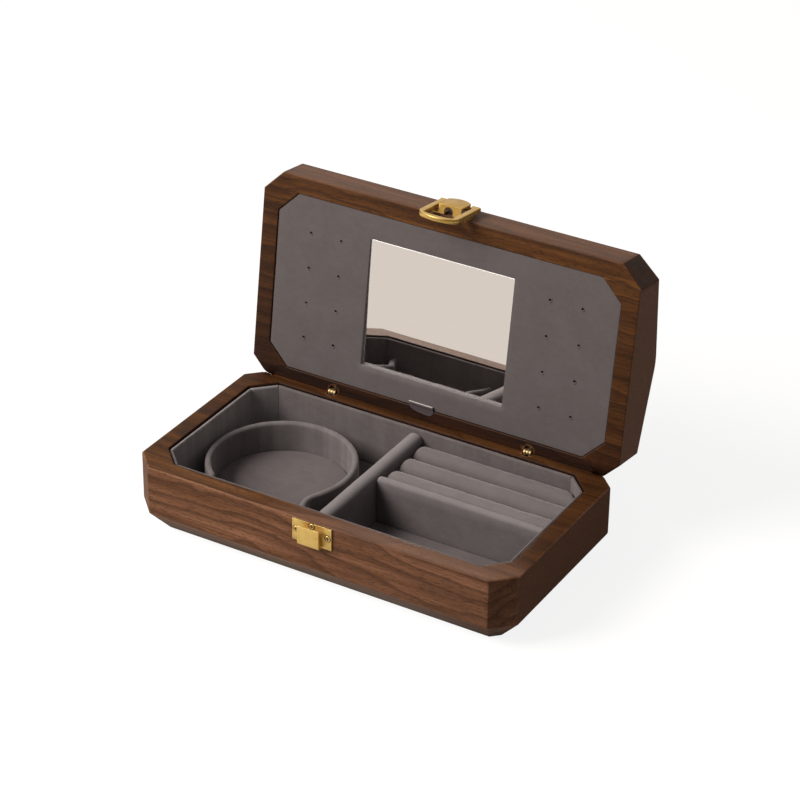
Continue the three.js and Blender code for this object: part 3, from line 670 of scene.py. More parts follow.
def new_group(
    name: str, inputs: dict[str, str], outputs: dict[str, str]
) -> tuple[Graph, list[bpy.types.NodeSocket], bpy.types.Node]:
    """Starts a shader node group with its sockets.

    Args:
        name: the group's name.
        inputs: kind of each input by its name.
        outputs: kind of each output by its name.

    Returns:
        The group's graph, what its inputs give, and its output node.
    """
    tree = bpy.data.node_groups.new(name, "ShaderNodeTree")
    for way, sockets in (("INPUT", inputs), ("OUTPUT", outputs)):
        for label, kind in sockets.items():
            tree.interface.new_socket(label, in_out=way, socket_type=f"NodeSocket{kind}")
    graph = Graph(tree)
    given = graph.add("NodeGroupInput").outputs
    return graph, [given[label] for label in inputs], graph.add("NodeGroupOutput")


@cache
def wood_figure() -> bpy.types.NodeTree:
    """Growth rings, fibres, pores and slow shade of a plank whose grain runs along X.

    Rings follow the distance from a pith line that lies below and behind the plank and rises a little
    along X. Three sizes of noise bend them. Fibres and pores are noise drawn out along X.

    Returns:
        The group, which gives a colour, a roughness and a height.
    """
    graph, (vector, dark, middle, light, end), result = new_group(
        "wood_figure",
        {"Vector": "Vector", "Dark": "Color", "Middle": "Color", "Light": "Color", "End": "Float"},
        {"Color": "Color", "Roughness": "Float", "Height": "Float"},
    )
    pith_rise, pith_below, pith_behind, ring_pitch = 0.05, 0.034, 0.012, 0.0052
    x, y, z = graph.split(vector)
    down = graph.maths("ADD", z, graph.maths("MULTIPLY_ADD", x, pith_rise, pith_below))
    back = graph.maths("SUBTRACT", y, pith_behind)
    square = graph.maths("ADD", graph.maths("MULTIPLY", down, down), graph.maths("MULTIPLY", back, back))
    bent = graph.maths("SQRT", square)
    for scale, detail, roughness, reach in (
        ((7.0, 26.0, 26.0), 2.0, 0.5, 0.024),
        ((22.0, 110.0, 110.0), 3.0, 0.55, 0.0028),
        ((42.0, 60.0, 60.0), 1.0, 0.5, 0.006),
    ):
        bent = graph.sway(bent, graph.drawn_out(vector, scale, detail, roughness), reach)
    saw = graph.maths("FRACT", graph.maths("DIVIDE", bent, ring_pitch))
    ring = graph.maths("MULTIPLY", graph.maths("POWER", saw, 2.0), graph.spread(saw, 0.82, 1.0, 1.0, 0.0))
    fibre = graph.drawn_out(vector, (20.0, 1050.0, 1050.0), 3.0, 0.6)
    streak = graph.drawn_out(vector, (8.0, 210.0, 210.0), 3.0, 0.55)
    pore = graph.spread(graph.drawn_out(vector, (330.0, 1900.0, 1900.0), 1.0, 0.5), 0.54, 0.66)
    shade = graph.drawn_out(vector, (5.0, 16.0, 16.0), 1.0, 0.5)
    cells = graph.noise(vector, 1500.0, 2.0, 0.6)
    body = graph.blend(graph.spread(streak, 0.3, 0.72), middle, light)
    cut = graph.blend(graph.spread(cells, 0.35, 0.7), middle, dark)
    cut = graph.blend(graph.maths("MULTIPLY", ring, 0.3), cut, dark)
    for share, tone in (
        (graph.spread(shade, 0.36, 0.7, 0.0, 0.3), dark),
        (graph.maths("MULTIPLY", ring, 0.86), dark),
        (graph.spread(fibre, 0.40, 0.74, 0.0, 0.44), dark),
        (graph.maths("MULTIPLY", pore, 0.42), colour("22130b")),
        (end, cut),
    ):
        body = graph.blend(share, body, tone)
    rough = graph.maths("MULTIPLY_ADD", ring, -0.08, graph.maths("MULTIPLY_ADD", fibre, 0.2, 0.46))
    relief = graph.maths("MULTIPLY_ADD", pore, -0.9, graph.maths("MULTIPLY", fibre, 0.35))
    relief = graph.maths("MULTIPLY_ADD", ring, 0.2, relief)
    graph.fill(result, {"Color": body, "Roughness": rough, "Height": relief})
    return graph.tree


@cache
def edge_wear() -> bpy.types.NodeTree:
    """Lighter, patchy colour along edges that hands and cloth have rubbed.

    The piece's own edge value, times noise, is the share of the worn colour.

    Returns:
        The group, which gives a colour.
    """
    graph, (vector, base, worn, edge, amount), result = new_group(
        "edge_wear",
        {"Vector": "Vector", "Base": "Color", "Worn": "Color", "Edge": "Float", "Amount": "Float"},
        {"Color": "Color"},
    )
    patchy = graph.spread(graph.noise(vector, 160.0, 3.0, 0.6), 0.3, 0.7, 0.25, 1.0)
    mask = graph.maths("MULTIPLY", graph.maths("MULTIPLY", edge, patchy), amount)
    graph.link(graph.blend(mask, base, worn), result.inputs["Color"])
    return graph.tree


@cache
def pile() -> bpy.types.NodeTree:
    """Short velvet pile: brushed patches, bands along a piece and single tufts.

    Returns:
        The group, which gives a colour and a height.
    """
    graph, (vector, deep, brushed, band, band_depth), result = new_group(
        "pile",
        {"Vector": "Vector", "Color": "Color", "Brushed": "Color", "Band": "Float", "Band Depth": "Float"},
        {"Color": "Color", "Height": "Float"},
    )
    patches = graph.spread(graph.noise(vector, 70.0, 3.0, 0.55, 0.6), 0.3, 0.7)
    strokes = graph.drawn_out(vector, (260.0, 620.0, 420.0), 3.0, 0.6)
    tufts = graph.noise(vector, 2400.0, 2.0, 0.6)
    bands = graph.add("ShaderNodeTexNoise", noise_dimensions="1D")
    graph.fill(bands, {"W": band, "Scale": 0.14, "Detail": 2.0})
    banded = graph.spread(bands.outputs["Fac"], 0.36, 0.60)
    share = graph.maths("MULTIPLY_ADD", patches, 0.22, graph.maths("MULTIPLY", strokes, 0.55))
    share = graph.sway(share, tufts, 0.7)
    share = graph.maths("MULTIPLY_ADD", graph.maths("MULTIPLY", banded, -1.0), band_depth, share)
    height = graph.maths("MULTIPLY_ADD", strokes, 0.5, tufts)
    graph.fill(result, {"Color": graph.blend(share, deep, brushed), "Height": height})
    return graph.tree


def bare_material(name: str) -> tuple[bpy.types.Material, Graph, bpy.types.Node, bpy.types.NodeSocket]:
    """Starts a material with a Principled shader and object coordinates.

    Args:
        name: the material's name.

    Returns:
        The material, its graph, the shader and the coordinates' socket.
    """
    made = bpy.data.materials.new(name)
    made.use_nodes = True
    made.node_tree.nodes.clear()
    graph = Graph(made.node_tree)
    shader = graph.add("ShaderNodeBsdfPrincipled")
    output = graph.add("ShaderNodeOutputMaterial")
    graph.link(shader.outputs[0], output.inputs[0])
    place = graph.add("ShaderNodeTexCoord").outputs["Object"]
    return made, graph, shader, place


def bump(graph: Graph, height: bpy.types.NodeSocket, depth: float, strength: float) -> bpy.types.NodeSocket:
    """A normal from a height, with the depth in millimetres."""
    values = {"Strength": strength, "Distance": depth * MM, "Height": height}
    return graph.fill(graph.add("ShaderNodeBump"), values).outputs["Normal"]


def rubbed(
    graph: Graph, place: bpy.types.NodeSocket, body: bpy.types.NodeSocket, code: str, amount: float
) -> bpy.types.NodeSocket:
    """A colour that turns to a worn one along the piece's edges.

    Args:
        graph: the material's graph.
        place: the coordinates' socket.
        body: the colour away from the edges.
        code: the worn colour.
        amount: the greatest share of the worn colour.

    Returns:
        The colour's socket.
    """
    values = {"Vector": place, "Base": body, "Worn": colour(code), "Edge": graph.value_of("edge")}
    return graph.group(edge_wear(), {**values, "Amount": amount}).outputs["Color"]


@dataclass(frozen=True)
class WalnutFinish:
    """Satin oiled walnut.

    Attributes:
        name: the material's name.
        dark: colour of late wood and fibres.
        middle: main colour.
        light: colour of light streaks.
        worn: colour of rubbed edges.
        stain_and_shade_tint: what the darkest stained wood, and the darkest painted shade, is multiplied by.
        stain_and_shade_amber: the amber that stained wood and painted shade are multiplied by as well.
        pale_and_sheen_colour: colour that paler wood and painted reflections take on.
        pale_and_sheen_share: the greatest share of that colour.
        rubbing: the greatest share of the rubbed colour.
        gloss: strength of the surface's reflections.
        turn: angle about X that brings the grain in line with the piece.
        shift: where in the log the piece was cut, in metres.
    """

    name: str
    dark: str = "371f12"
    middle: str = "6a442a"
    light: str = "90644a"
    worn: str = "8a6248"
    stain_and_shade_tint: str = "655347"
    stain_and_shade_amber: str = "fff0a8"
    pale_and_sheen_colour: str = "8a6f60"
    pale_and_sheen_share: float = 0.27
    rubbing: float = 0.14
    gloss: float = 0.14
    turn: float = 0.0
    shift: tuple[float, float, float] = (0.0, 0.0, 0.0)

    def material(self) -> bpy.types.Material:
        """The finish as a material."""
        made, graph, shader, place = bare_material(self.name)
        mapping = graph.add("ShaderNodeMapping")
        graph.fill(mapping, {"Rotation": (self.turn, 0.0, 0.0), "Location": self.shift, "Vector": place})
        normal = graph.add("ShaderNodeNewGeometry").outputs["True Normal"]
        end = graph.spread(graph.maths("ABSOLUTE", graph.split(normal)[0]), 0.5, 0.95, 0.0, 0.85)
        tones = {"Dark": colour(self.dark), "Middle": colour(self.middle), "Light": colour(self.light)}
        figure = graph.group(wood_figure(), {"Vector": mapping.outputs[0], "End": end, **tones})
        body = rubbed(graph, place, figure.outputs["Color"], self.worn, self.rubbing)
        # The stained value darkens the wood: real stain on rims and walls, plus painted shade in the tray's
        # well and on the lid's rim by the hinges.
        stained = graph.value_of("stained")
        body = graph.blend(stained, body, colour(self.stain_and_shade_tint), "MULTIPLY")
        body = graph.blend(graph.spread(stained, 0.25, 0.6), body, colour(self.stain_and_shade_amber), "MULTIPLY")
        # The sanded value pales the wood on the tray's front rim, its foot and the lid's front wall, and is a
        # painted reflection on both right end walls.
        sanded = graph.maths("MULTIPLY", graph.value_of("sanded"), self.pale_and_sheen_share)
        values = {
            "Base Color": graph.blend(sanded, body, colour(self.pale_and_sheen_colour)),
            "Roughness": figure.outputs["Roughness"],
            "Normal": bump(graph, figure.outputs["Height"], depth=0.06, strength=0.8),
            "Specular IOR Level": self.gloss,
        }
        graph.fill(shader, values)
        return made


@dataclass(frozen=True)
class VelvetFinish:
    """Short-pile velvet.

    Attributes:
        name: the material's name.
        deep: colour where the pile leans towards the eye.
        brushed: colour where it leans away.
        band_depth: how strongly the bands along the piece show.
        sheen: strength of the soft light at grazing angles.
        crown_sheen: painted sheen that the crown value screens over the tops and rounded edges.
    """

    name: str
    deep: str = "5a5353"
    brushed: str = "716b6a"
    band_depth: float = 0.0
    sheen: float = 0.35
    crown_sheen: str = "403e3e"

    def material(self) -> bpy.types.Material:
        """The finish as a material."""
        made, graph, shader, place = bare_material(self.name)
        values = {"Vector": place, "Color": colour(self.deep), "Brushed": colour(self.brushed)}
        nap = graph.group(pile(), values)
        if self.band_depth:
            graph.fill(nap, {"Band": graph.value_of("along"), "Band Depth": self.band_depth})
        # Painted sheen: the piece's crown value lightens its tops and rounded edges.
        with_crown_sheen = graph.blend(graph.value_of("crown"), nap.outputs["Color"], colour(self.crown_sheen), "SCREEN")
        values = {
            "Base Color": with_crown_sheen,
            "Normal": bump(graph, nap.outputs["Height"], depth=0.12, strength=0.5),
            "Roughness": 0.95,
            "Specular IOR Level": 0.1,
            "Sheen Weight": self.sheen,
            "Sheen Roughness": 0.42,
            "Sheen Tint": colour("d6d0ce"),
        }
        graph.fill(shader, values)
        return made


@dataclass(frozen=True)
class BrassFinish:
    """Satin plated brass with rubbed edges, fine scratches and painted shade in its recesses.

    Attributes:
        name: the material's name.
        tone: main colour.
        shade: colour of darker clouds.
        roughness: middle of its roughness.
        metal: how metallic it is.
        worn: colour of rubbed edges.
        rubbing: the greatest share of that colour.
        recess_shade_tint: colour of the painted shade in recesses.
    """

    name: str
    tone: str = "e0c074"
    shade: str = "c6a450"
    roughness: float = 0.34
    metal: float = 0.78
    worn: str = "ecd08e"
    rubbing: float = 0.5
    recess_shade_tint: str = "241a10"

    def material(self) -> bpy.types.Material:
        """The finish as a material."""
        made, graph, shader, place = bare_material(self.name)
        cloud = graph.noise(place, 260.0, 2.0, 0.5)
        scratch = graph.drawn_out(place, (500.0, 500.0, 9000.0), 2.0, 0.6)
        body = graph.blend(graph.spread(cloud, 0.35, 0.75, 0.0, 0.5), colour(self.tone), colour(self.shade))
        body = rubbed(graph, place, body, self.worn, self.rubbing)
        # Painted shade in the bracket's window and in the screws' slots.
        recess_shade = graph.maths("MULTIPLY", graph.value_of("recess_shade"), 0.92)
        rough = graph.maths("MULTIPLY_ADD", scratch, 0.14, self.roughness - 0.07)
        values = {
            "Base Color": graph.blend(recess_shade, body, colour(self.recess_shade_tint)),
            "Roughness": graph.maths("MULTIPLY_ADD", cloud, 0.1, rough),
            "Normal": bump(graph, scratch, depth=0.01, strength=0.5),
            "Metallic": self.metal,
        }
        graph.fill(shader, values)
        return made


@dataclass(frozen=True)
class MirrorFinish:
    """Silvered glass with a few faint specks of dust."""

    name: str

    def material(self) -> bpy.types.Material:
        """The finish as a material."""
        made, graph, shader, place = bare_material(self.name)
        dust = graph.spread(graph.noise(place, 1500.0, 1.0, 0.5), 0.76, 0.80)
        ground = graph.value_of("ground")
        body = graph.blend(graph.maths("MULTIPLY", dust, 0.25), colour("fbf9f8"), colour("bdb6ae"))
        rough = graph.maths("MULTIPLY_ADD", ground, 0.5, graph.maths("MULTIPLY_ADD", dust, 0.2, 0.015))
        body = graph.blend(ground, body, colour("ffffff"))
        graph.fill(shader, {"Base Color": body, "Roughness": rough, "Metallic": 1.0})
        return made


@dataclass(frozen=True)
class CardFinish:
    """Matt dark card."""

    name: str

    def material(self) -> bpy.types.Material:
        """The finish as a material."""
        made, graph, shader, place = bare_material(self.name)
        pulp = graph.noise(place, 1300.0, 4.0, 0.7)
        body = graph.blend(pulp, colour("2c2a28"), colour("4a4642"))
        relief = bump(graph, pulp, depth=0.04, strength=0.4)
        graph.fill(shader, {"Base Color": body, "Normal": relief, "Roughness": 0.9})
        return made


@dataclass(frozen=True)
class RibbonFinish:
    """Woven ribbon: fine ribs across it, by its own run in millimetres, and a painted highlight on its fold
    and edges.
    """

    name: str
    rib_pitch: float = 0.45

    def material(self) -> bpy.types.Material:
        """The finish as a material."""
        made, graph, shader, place = bare_material(self.name)
        turn = graph.maths("MULTIPLY", graph.value_of("along"), 2 * np.pi / self.rib_pitch)
        fuzz = graph.maths("MULTIPLY", graph.noise(place, 2600.0, 2.0, 0.6), 0.7)
        share = graph.maths("MULTIPLY_ADD", graph.maths("SINE", turn), 0.3, fuzz)
        body = graph.blend(share, colour("2e2126"), colour("3d2f34"))
        # The edge value blends in a pale colour as a painted highlight.
        painted_highlight = graph.maths("MULTIPLY", graph.value_of("edge"), 0.85)
        values = {
            "Base Color": graph.blend(painted_highlight, body, colour("c4bab9")),
            "Normal": bump(graph, share, depth=0.06, strength=0.6),
            "Roughness": 0.7,
            "Sheen Weight": 0.1,
        }
        graph.fill(shader, values)
        return made


class Workshop:
    """Keeps the finishes and dresses, names and places every piece."""

    def __init__(self, nodes: dict[str, bpy.types.Object]) -> None:
        """Takes the frame's CAD nodes and makes the finishes."""
        self.nodes = nodes
        lid_turn = float(SIZES.open_angle)
        self.finishes: dict[str, bpy.types.Material] = {
            finish.name: finish.material()
            for finish in (
                WalnutFinish("walnut_base"),
                WalnutFinish("walnut_lid", turn=lid_turn, shift=(0.31, 0.012, -0.02)),
                VelvetFinish("velvet_board", band_depth=0.14),
                # Lighter velvet as painted light on the left and back-left boards, which face away from the
                # lamp.
                VelvetFinish("velvet_board_painted_light", deep="847e7e", brushed="9f9999", band_depth=0.34),
                VelvetFinish("velvet_floor", deep="5b5455", brushed="736c6c"),
                VelvetFinish("velvet_roll_1", deep="595252", brushed="736c6c", sheen=0.5),
                # Rolls 2 and 3 take darker velvet as painted shade towards the back.
                VelvetFinish("velvet_roll_2", deep="544e4e", brushed="6b6565", sheen=0.45),
                VelvetFinish("velvet_roll_3", deep="514a4a", brushed="676161", sheen=0.4),
                VelvetFinish("velvet_divider", deep="554e4e", brushed="6c6666", sheen=0.55, crown_sheen="5c5a5a"),
                VelvetFinish("velvet_ring", deep="5e5858", brushed="767070", band_depth=0.3, sheen=0.5),
                VelvetFinish("velvet_panel", deep="554e4e", brushed="625d5d", sheen=0.25),
                BrassFinish("brass"),
                BrassFinish("brass_latch", tone="c8a258", shade="b08a3c", roughness=0.32),
                BrassFinish("brass_screw", tone="d2b678", shade="9c7e48", roughness=0.32),
                BrassFinish("hinge_metal", tone="9a825c", shade="5a4830", roughness=0.36),
                MirrorFinish("mirror_silver"),
                CardFinish("dark_card"),
                RibbonFinish("tab_ribbon"),
            )
        }

    def place(
        self,
        piece: bpy.types.Object,
        finish: str,
        slot: Slot,
        body: Body,
        stands_for: Sequence[str] = (),
        fill: Optional[float] = None,
    ) -> None:
        """Dresses a new piece, rides it on its body and hides the CAD nodes that it stands for.

        Args:
            piece: the finished object.
            finish: name of its finish.
            slot: the record's material slot. Not used.
            body: the body it moves with.
            stands_for: CAD nodes that it replaces.
            fill: for a padded piece, how tight its filling is. Not used.
        """
        piece.data.materials.clear()
        piece.data.materials.append(self.finishes[finish])
        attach(piece, body.value)
        if stands_for:
            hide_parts(*stands_for)
        LOG.info("%s: %d points, %s, rides on %s", piece.name, len(piece.data.vertices), finish, body.value)

    def velvet(
        self,
        name: str,
        surface: Surface,
        finish: str,
        node: str,
        fill: float = 0.9,
        sharp_angle: float = 60.0,
    ) -> None:
        """Makes and places a padded velvet piece of the base.

        Args:
            name: the piece's name.
            surface: its shape.
            finish: name of its finish.
            node: the CAD node that it replaces.
            fill: how tight its filling is.
            sharp_angle: edges that bend by more than this many degrees stay sharp.
        """
        self.place(put_mesh(name, surface, sharp_angle), finish, Slot.VELVET, Body.BASE, [node], fill=fill)

    def keep(self, node: str, finish: str) -> None:
        """Leaves a CAD node showing, with a finish of its own."""
        piece = self.nodes[node]
        if not piece.material_slots:
            piece.data.materials.append(None)
        for spot in piece.material_slots:
            spot.material = self.finishes[finish]
        LOG.info("%s: CAD node kept, %s", node, finish)

    def eased(self, node: str, name: str, width: float) -> bpy.types.Object:
        """Copies a CAD node, merges its loose triangles and eases its sharp edges.

        Args:
            node: the CAD node.
            name: name of the copy.
            width: width of the eased edges.

        Returns:
            The copy, with its bevels kept in the mesh.
        """
        mesh = self.nodes[node].data.copy()
        mesh.name = name
        work = bmesh.new()
        work.from_mesh(mesh)
        bmesh.ops.remove_doubles(work, verts=work.verts, dist=2e-6)
        flat_angle = np.radians(1.0)
        bmesh.ops.dissolve_limit(
            work, angle_limit=flat_angle, verts=work.verts, edges=work.edges, use_dissolve_boundaries=False
        )
        work.to_mesh(mesh)
        work.free()
        made = add_object(name, mesh)
        ease = made.modifiers.new("ease", "BEVEL")
        ease.width = width * MM
        ease.segments = 2
        ease.limit_method = "ANGLE"
        ease.angle_limit = np.radians(32)
        ease.harden_normals = False
        ease.use_clamp_overlap = True
        result = baked(made)
        made.modifiers.clear()
        made.data = result
        result.name = name
        bpy.data.meshes.remove(mesh)
        result.polygons.foreach_set("use_smooth", np.ones(len(result.polygons), dtype=bool))
        result.set_sharp_from_angle(angle=np.radians(35))
        return made


# Sub-assemblies


@dataclass(frozen=True)
class ShellTones:
    """How strongly parts of the wooden shells are stained, painted with shade, paler or painted with
    reflection, from 0 to about 1.

    Attributes:
        tray_front_rim: stain of the tray's rim at the front left.
        tray_back_rim: stain of its rim from the sides to the back.
        tray_side_rim: what the two ends add to that.
        tray_wall: stain of its outer walls.
        tray_cut: what its cut corners add to that.
        tray_end_sheen: painted reflection on its right end wall.
        tray_foot: lightening of its foot bevel.
        lid_rim: stain of the lid's rim at the latch.
        lid_hinge_shade: painted shade that the way to the hinges adds.
        lid_left: what the left end adds.
        lid_across: what the right half adds and the left half loses.
        lid_wall: stain of the lid's outside.
        lid_right: what its right half adds.
        lid_cut: what the front cut corners add.
        lid_front: lightening of the lid's front wall in the middle. It falls to the right.
        lid_end_sheen: what its right end wall adds as painted reflection.
    """

    tray_front_rim: float = 0.5
    tray_back_rim: float = 0.62
    tray_side_rim: float = 0.11
    tray_wall: float = 0.11
    tray_cut: float = 0.12
    tray_end_sheen: float = 0.32
    tray_foot: float = 0.5
    lid_rim: float = 0.55
    lid_hinge_shade: float = 0.26
    lid_left: float = 0.2
    lid_across: float = 0.05
    lid_wall: float = 0.24
    lid_right: float = 0.1
    lid_cut: float = 0.42
    lid_front: float = 0.75
    lid_end_sheen: float = 1.42


@dataclass
class WalnutShells:
    """The two wooden shells: an octagonal tray with a bevelled foot, and a lid with a low gabled top.

    Attributes:
        bevel_height: height of the tray's foot bevel.
        bevel_inset: how far the foot lies inside the wall.
        floor: height of the tray's floor.
        ledge: width of the ledge that the lid's panel lies on.
        cavity: depth of the lid's cavity above its rim.
        panel_back: depth of that ledge.
        setback: where both rims have a row of points.
        rim_row: distance of a second row from the outer edge, on both rims and down the tray's wall.
        wall_row: height of one more row on the tray's wall.
        well_row: height of one more row in its well.
        lid_rows: heights of extra rows above the lid's rim.
        back_reach: distance from the rim over which the back edge's bevel fades.
        bevel_start: height on the tray where it starts.
        edge_height: height of the lid's wall.
        ridge_rise: how far the ridge stands above it.
        ridge_radius: radius of the rounded ridge.
        outer_ease: radius of the outer edges.
        rim_ease: radius of the openings' edges.
        brow_reach: length of the lid's upper edge on each side.
        brow_ease: radius of that edge.
        closing: shares of the way from the brow to the ridge where the lid's top has rows.
        spine: the ridge line's length as a share of the brow's.
        barrel_hole: radius of the barrels' holes.
        barrel_depth: their depth.
        barrel_past: how far the bars that cut them stand out past the rim.
        corner_wear: wear along the upright edges.
        cut_sum: x plus y beyond which a point lies on a cut corner.
        end_x: x beyond which a point lies on the right end wall.
        tones: strengths of the stain, the painted shade, the paler wood and the painted reflection.
    """

    bevel_height: float = 12.3
    bevel_inset: float = 10.7
    floor: float = 7.0
    ledge: float = 3.0
    cavity: float = 15.0
    panel_back: float = 3.9
    setback: float = 3.3
    rim_row: float = 6.0
    wall_row: float = 20.0
    well_row: float = 24.0
    lid_rows: tuple[float, float] = (7.0, 14.0)
    back_reach: float = 14.0
    bevel_start: float = 14.0
    edge_height: float = 17.7
    ridge_rise: float = 10.3
    ridge_radius: float = 22.0
    outer_ease: float = 0.8
    rim_ease: float = 0.6
    brow_reach: float = 2.5
    brow_ease: float = 1.2
    closing: tuple[float, ...] = (0.2, 0.4, 0.6, 0.76, 0.87, 0.91, 0.93, 0.95, 0.97, 0.985, 1.0)
    spine: float = 0.5
    barrel_hole: float = 2.6
    barrel_depth: float = 10.3
    barrel_past: float = 4.0
    corner_wear: float = 0.8
    cut_sum: float = 142.6
    end_x: float = 99.2
    tones: ShellTones = ShellTones()

    def back_drop(self, y: np.ndarray) -> np.ndarray:
        """How far the back edge's bevel has fallen: the way behind the hinge times the half angle's slope."""
        return np.maximum(y - SIZES.hinge_y, 0) * np.tan(SIZES.open_angle / 2)

    def gable(self, y: np.ndarray) -> np.ndarray:
        """Height of the lid's top: two straight slopes with a circle's arc over the ridge."""
        slope = np.arctan2(self.ridge_rise, SIZES.half_depth)
        half = self.ridge_radius * np.sin(slope)
        low = SIZES.lid_face + self.edge_height
        meets = low + (SIZES.half_depth - half) * np.tan(slope)
        centre = meets - self.ridge_radius * np.cos(slope)
        arc = centre + np.sqrt(np.maximum(self.ridge_radius**2 - y**2, 0))
        return np.where(np.abs(y) < half, arc, low + (SIZES.half_depth - np.abs(y)) * np.tan(slope))

    def outline(self, inset: np.ndarray) -> tuple[np.ndarray, np.ndarray]:
        """Plan loops at distances inside the outer wall, and their corner marks."""
        return cut_corner_loops(SIZES.half_width, SIZES.half_depth, SIZES.corner_cut, inset, self.outer_ease)

    def loops(self, inset: np.ndarray) -> tuple[np.ndarray, np.ndarray]:
        """Plan loops for the outer wall, the rim and the opening.

        Args:
            inset: distance inside the outer wall for each row.

        Returns:
            Points and corner marks. Rows near the opening take the opening's own cut.
        """
        outer, marks = self.outline(inset)
        wide, deep = SIZES.opening_half_width, SIZES.opening_half_depth
        inner, _ = cut_corner_loops(wide, deep, SIZES.opening_cut, inset - SIZES.wall, self.outer_ease)
        share = np.clip(inset / SIZES.wall, 0, 1)[:, None, None]
        return outer * (1 - share) + inner * share, marks

    def on_cut(self, plan: np.ndarray) -> np.ndarray:
        """1 on the cut corners and 0 off them, from the sum of x and y without their signs."""
        return ramp(np.abs(plan).sum(axis=-1), self.cut_sum, 0.4)

    def on_end(self, plan: np.ndarray) -> np.ndarray:
        """1 on the right end wall and 0 off it."""
        return ramp(plan[..., 0], self.end_x, 0.6)

    def tray(self) -> Surface:
        """The tray: its profile goes up the outside, over the rim and down into the well, round the plan."""
        top = SIZES.rim_top
        profile, edge = soften(
            [
                (self.bevel_inset + 2, 0, 0),
                (self.bevel_inset, 0, 0.7),
                (0, self.bevel_height, 0.8),
                (0, self.wall_row, 0),
                (0, top - self.rim_row, 0),
                (0, top, self.outer_ease),
                (self.setback, top, 0),
                (self.rim_row, top, 0),
                (SIZES.wall, top, self.rim_ease),
                (SIZES.wall, self.well_row, 0),
                (SIZES.wall, self.floor, 0.3),
                (SIZES.wall + 1, self.floor, 0),
            ]
        )
        inset, height = profile[:, 0], profile[:, 1]
        outer_side = np.arange(len(inset)) <= int(np.argmax(height > top - 0.01)) + 4
        wall, marks = self.outline(np.minimum(inset, self.bevel_inset + 2))
        rimmed, _ = self.loops(inset)
        plan = np.where(outer_side[:, None, None] & (height < top - 1)[:, None, None], wall, rimmed)
        share = np.clip((height - self.bevel_start) / (top - self.bevel_start), 0, 1)[:, None]
        z = height[:, None] - self.back_drop(plan[..., 1]) * share
        wall_rows = outer_side & (height > 1)
        worn_edges = np.maximum(edge[:, None], marks[None] * wall_rows[:, None] * self.corner_wear)
        stained, sanded = self.tray_tones(plan, inset, height, outer_side)
        values = {"edge": worn_edges, "stained": stained, "sanded": sanded}
        return Surface.from_grid(raised(plan, z), values=values)

    def tray_tones(
        self, plan: np.ndarray, inset: np.ndarray, height: np.ndarray, outer_side: np.ndarray
    ) -> tuple[np.ndarray, np.ndarray]:
        """Where the tray is stained or painted with shade, and where it is paler or painted with reflection.

        Args:
            plan: its points in plan, by rows.
            inset: distance of each row inside the wall.
            height: height of each row.
            outer_side: whether a row is on the outside.

        Returns:
            Stain with painted shade, and paler wood with painted reflection, for every point, as sums and
            products of straight rises across the plan.
        """
        tones = self.tones
        below_rim = height < SIZES.rim_top - 0.1
        on_rim = (ramp(inset, 0.2, 0.6) * (height > SIZES.rim_top - 2))[:, None]
        # Painted shade: the well's inner wall above the lining is fully darkened.
        inside = (inset >= SIZES.wall - 0.7) & (height < SIZES.rim_top - 0.05)
        on_foot = outer_side & (height < self.bevel_height - 0.4)
        to_back = ramp(plan[..., 1], -50, 22)
        to_right = ramp(plan[..., 0], -30, 55)
        to_side = ramp(np.abs(plan[..., 0]), 80, 10)
        front_stain = tones.tray_front_rim * (1 - to_right) * (1 - to_back)
        rim_darkening = front_stain + (tones.tray_back_rim + tones.tray_side_rim * to_side) * to_back
        wall_rows = (outer_side & ~on_foot & below_rim)[:, None]
        wall_stain = (tones.tray_wall + tones.tray_cut * self.on_cut(plan)) * wall_rows
        stained = np.maximum(np.maximum(on_rim * rim_darkening, wall_stain), inside[:, None])
        # Paler front rim and foot bevel; the right end wall gets a painted reflection.
        end = self.on_end(plan) * (outer_side & (height > 1) & below_rim)[:, None]
        sanded = on_rim * to_right * (1 - to_back) + tones.tray_end_sheen * end + tones.tray_foot * on_foot[:, None]
        return stained, sanded

    def lid(self) -> Surface:
        """The lid, closed: its profile goes down inside, over the rim, up outside and over the gabled top."""
        face = SIZES.lid_face
        inner = SIZES.wall + self.ledge
        low_row, high_row = self.lid_rows
        profile, edge = soften(
            [
                (inner + 1, face + self.cavity, 0),
                (inner, face + self.cavity, 0.3),
                (inner, face + self.panel_back, 0.3),
                (SIZES.wall, face + self.panel_back, 0.3),
                (SIZES.wall, face, self.rim_ease),
                (self.rim_row, face, 0),
                (self.setback, face, 0),
                (0, face, self.outer_ease),
                (0, face + low_row, 0),
                (0, face + high_row, 0),
            ]
        )
        inset, height = profile[:, 0], profile[:, 1]
        plan, marks = self.loops(inset)
        share = np.clip(1 - (height - face) / self.back_reach, 0, 1) * (inset < SIZES.wall - 1)
        lower = raised(plan, height[:, None] + self.back_drop(plan[..., 1]) * share[:, None])
        lower_edge = np.maximum(edge[:, None], marks[None] * (inset < 0.01)[:, None] * self.corner_wear)
        reach = self.brow_reach
        ease, ease_edge = soften([(0, -reach, 0), (0, 0, self.brow_ease), (reach, 0, 0)])
        brow, _ = self.outline(ease[:, 0])
        upper = raised(brow, self.gable(brow[..., 1]) + ease[:, 1:])
        upper_edge = np.maximum(ease_edge[:, None], marks[None] * (ease[:, :1] < 0.3) * self.corner_wear)
        closing = np.array(self.closing)[:, None, None]
        crown = brow[-1] * (1 - closing) + brow[-1] * np.array([self.spine, 0.0]) * closing
        top = raised(crown, self.gable(crown[..., 1]))
        grid = np.concatenate([lower, upper, top])
        worn_edges = np.concatenate([lower_edge, upper_edge, np.zeros(top.shape[:2])])
        stained, sanded = self.lid_tones(plan, inset, grid)
        surface = Surface.from_grid(grid, values={"edge": worn_edges, "stained": stained, "sanded": sanded})
        surface.caps = surface.caps[:1]
        return surface

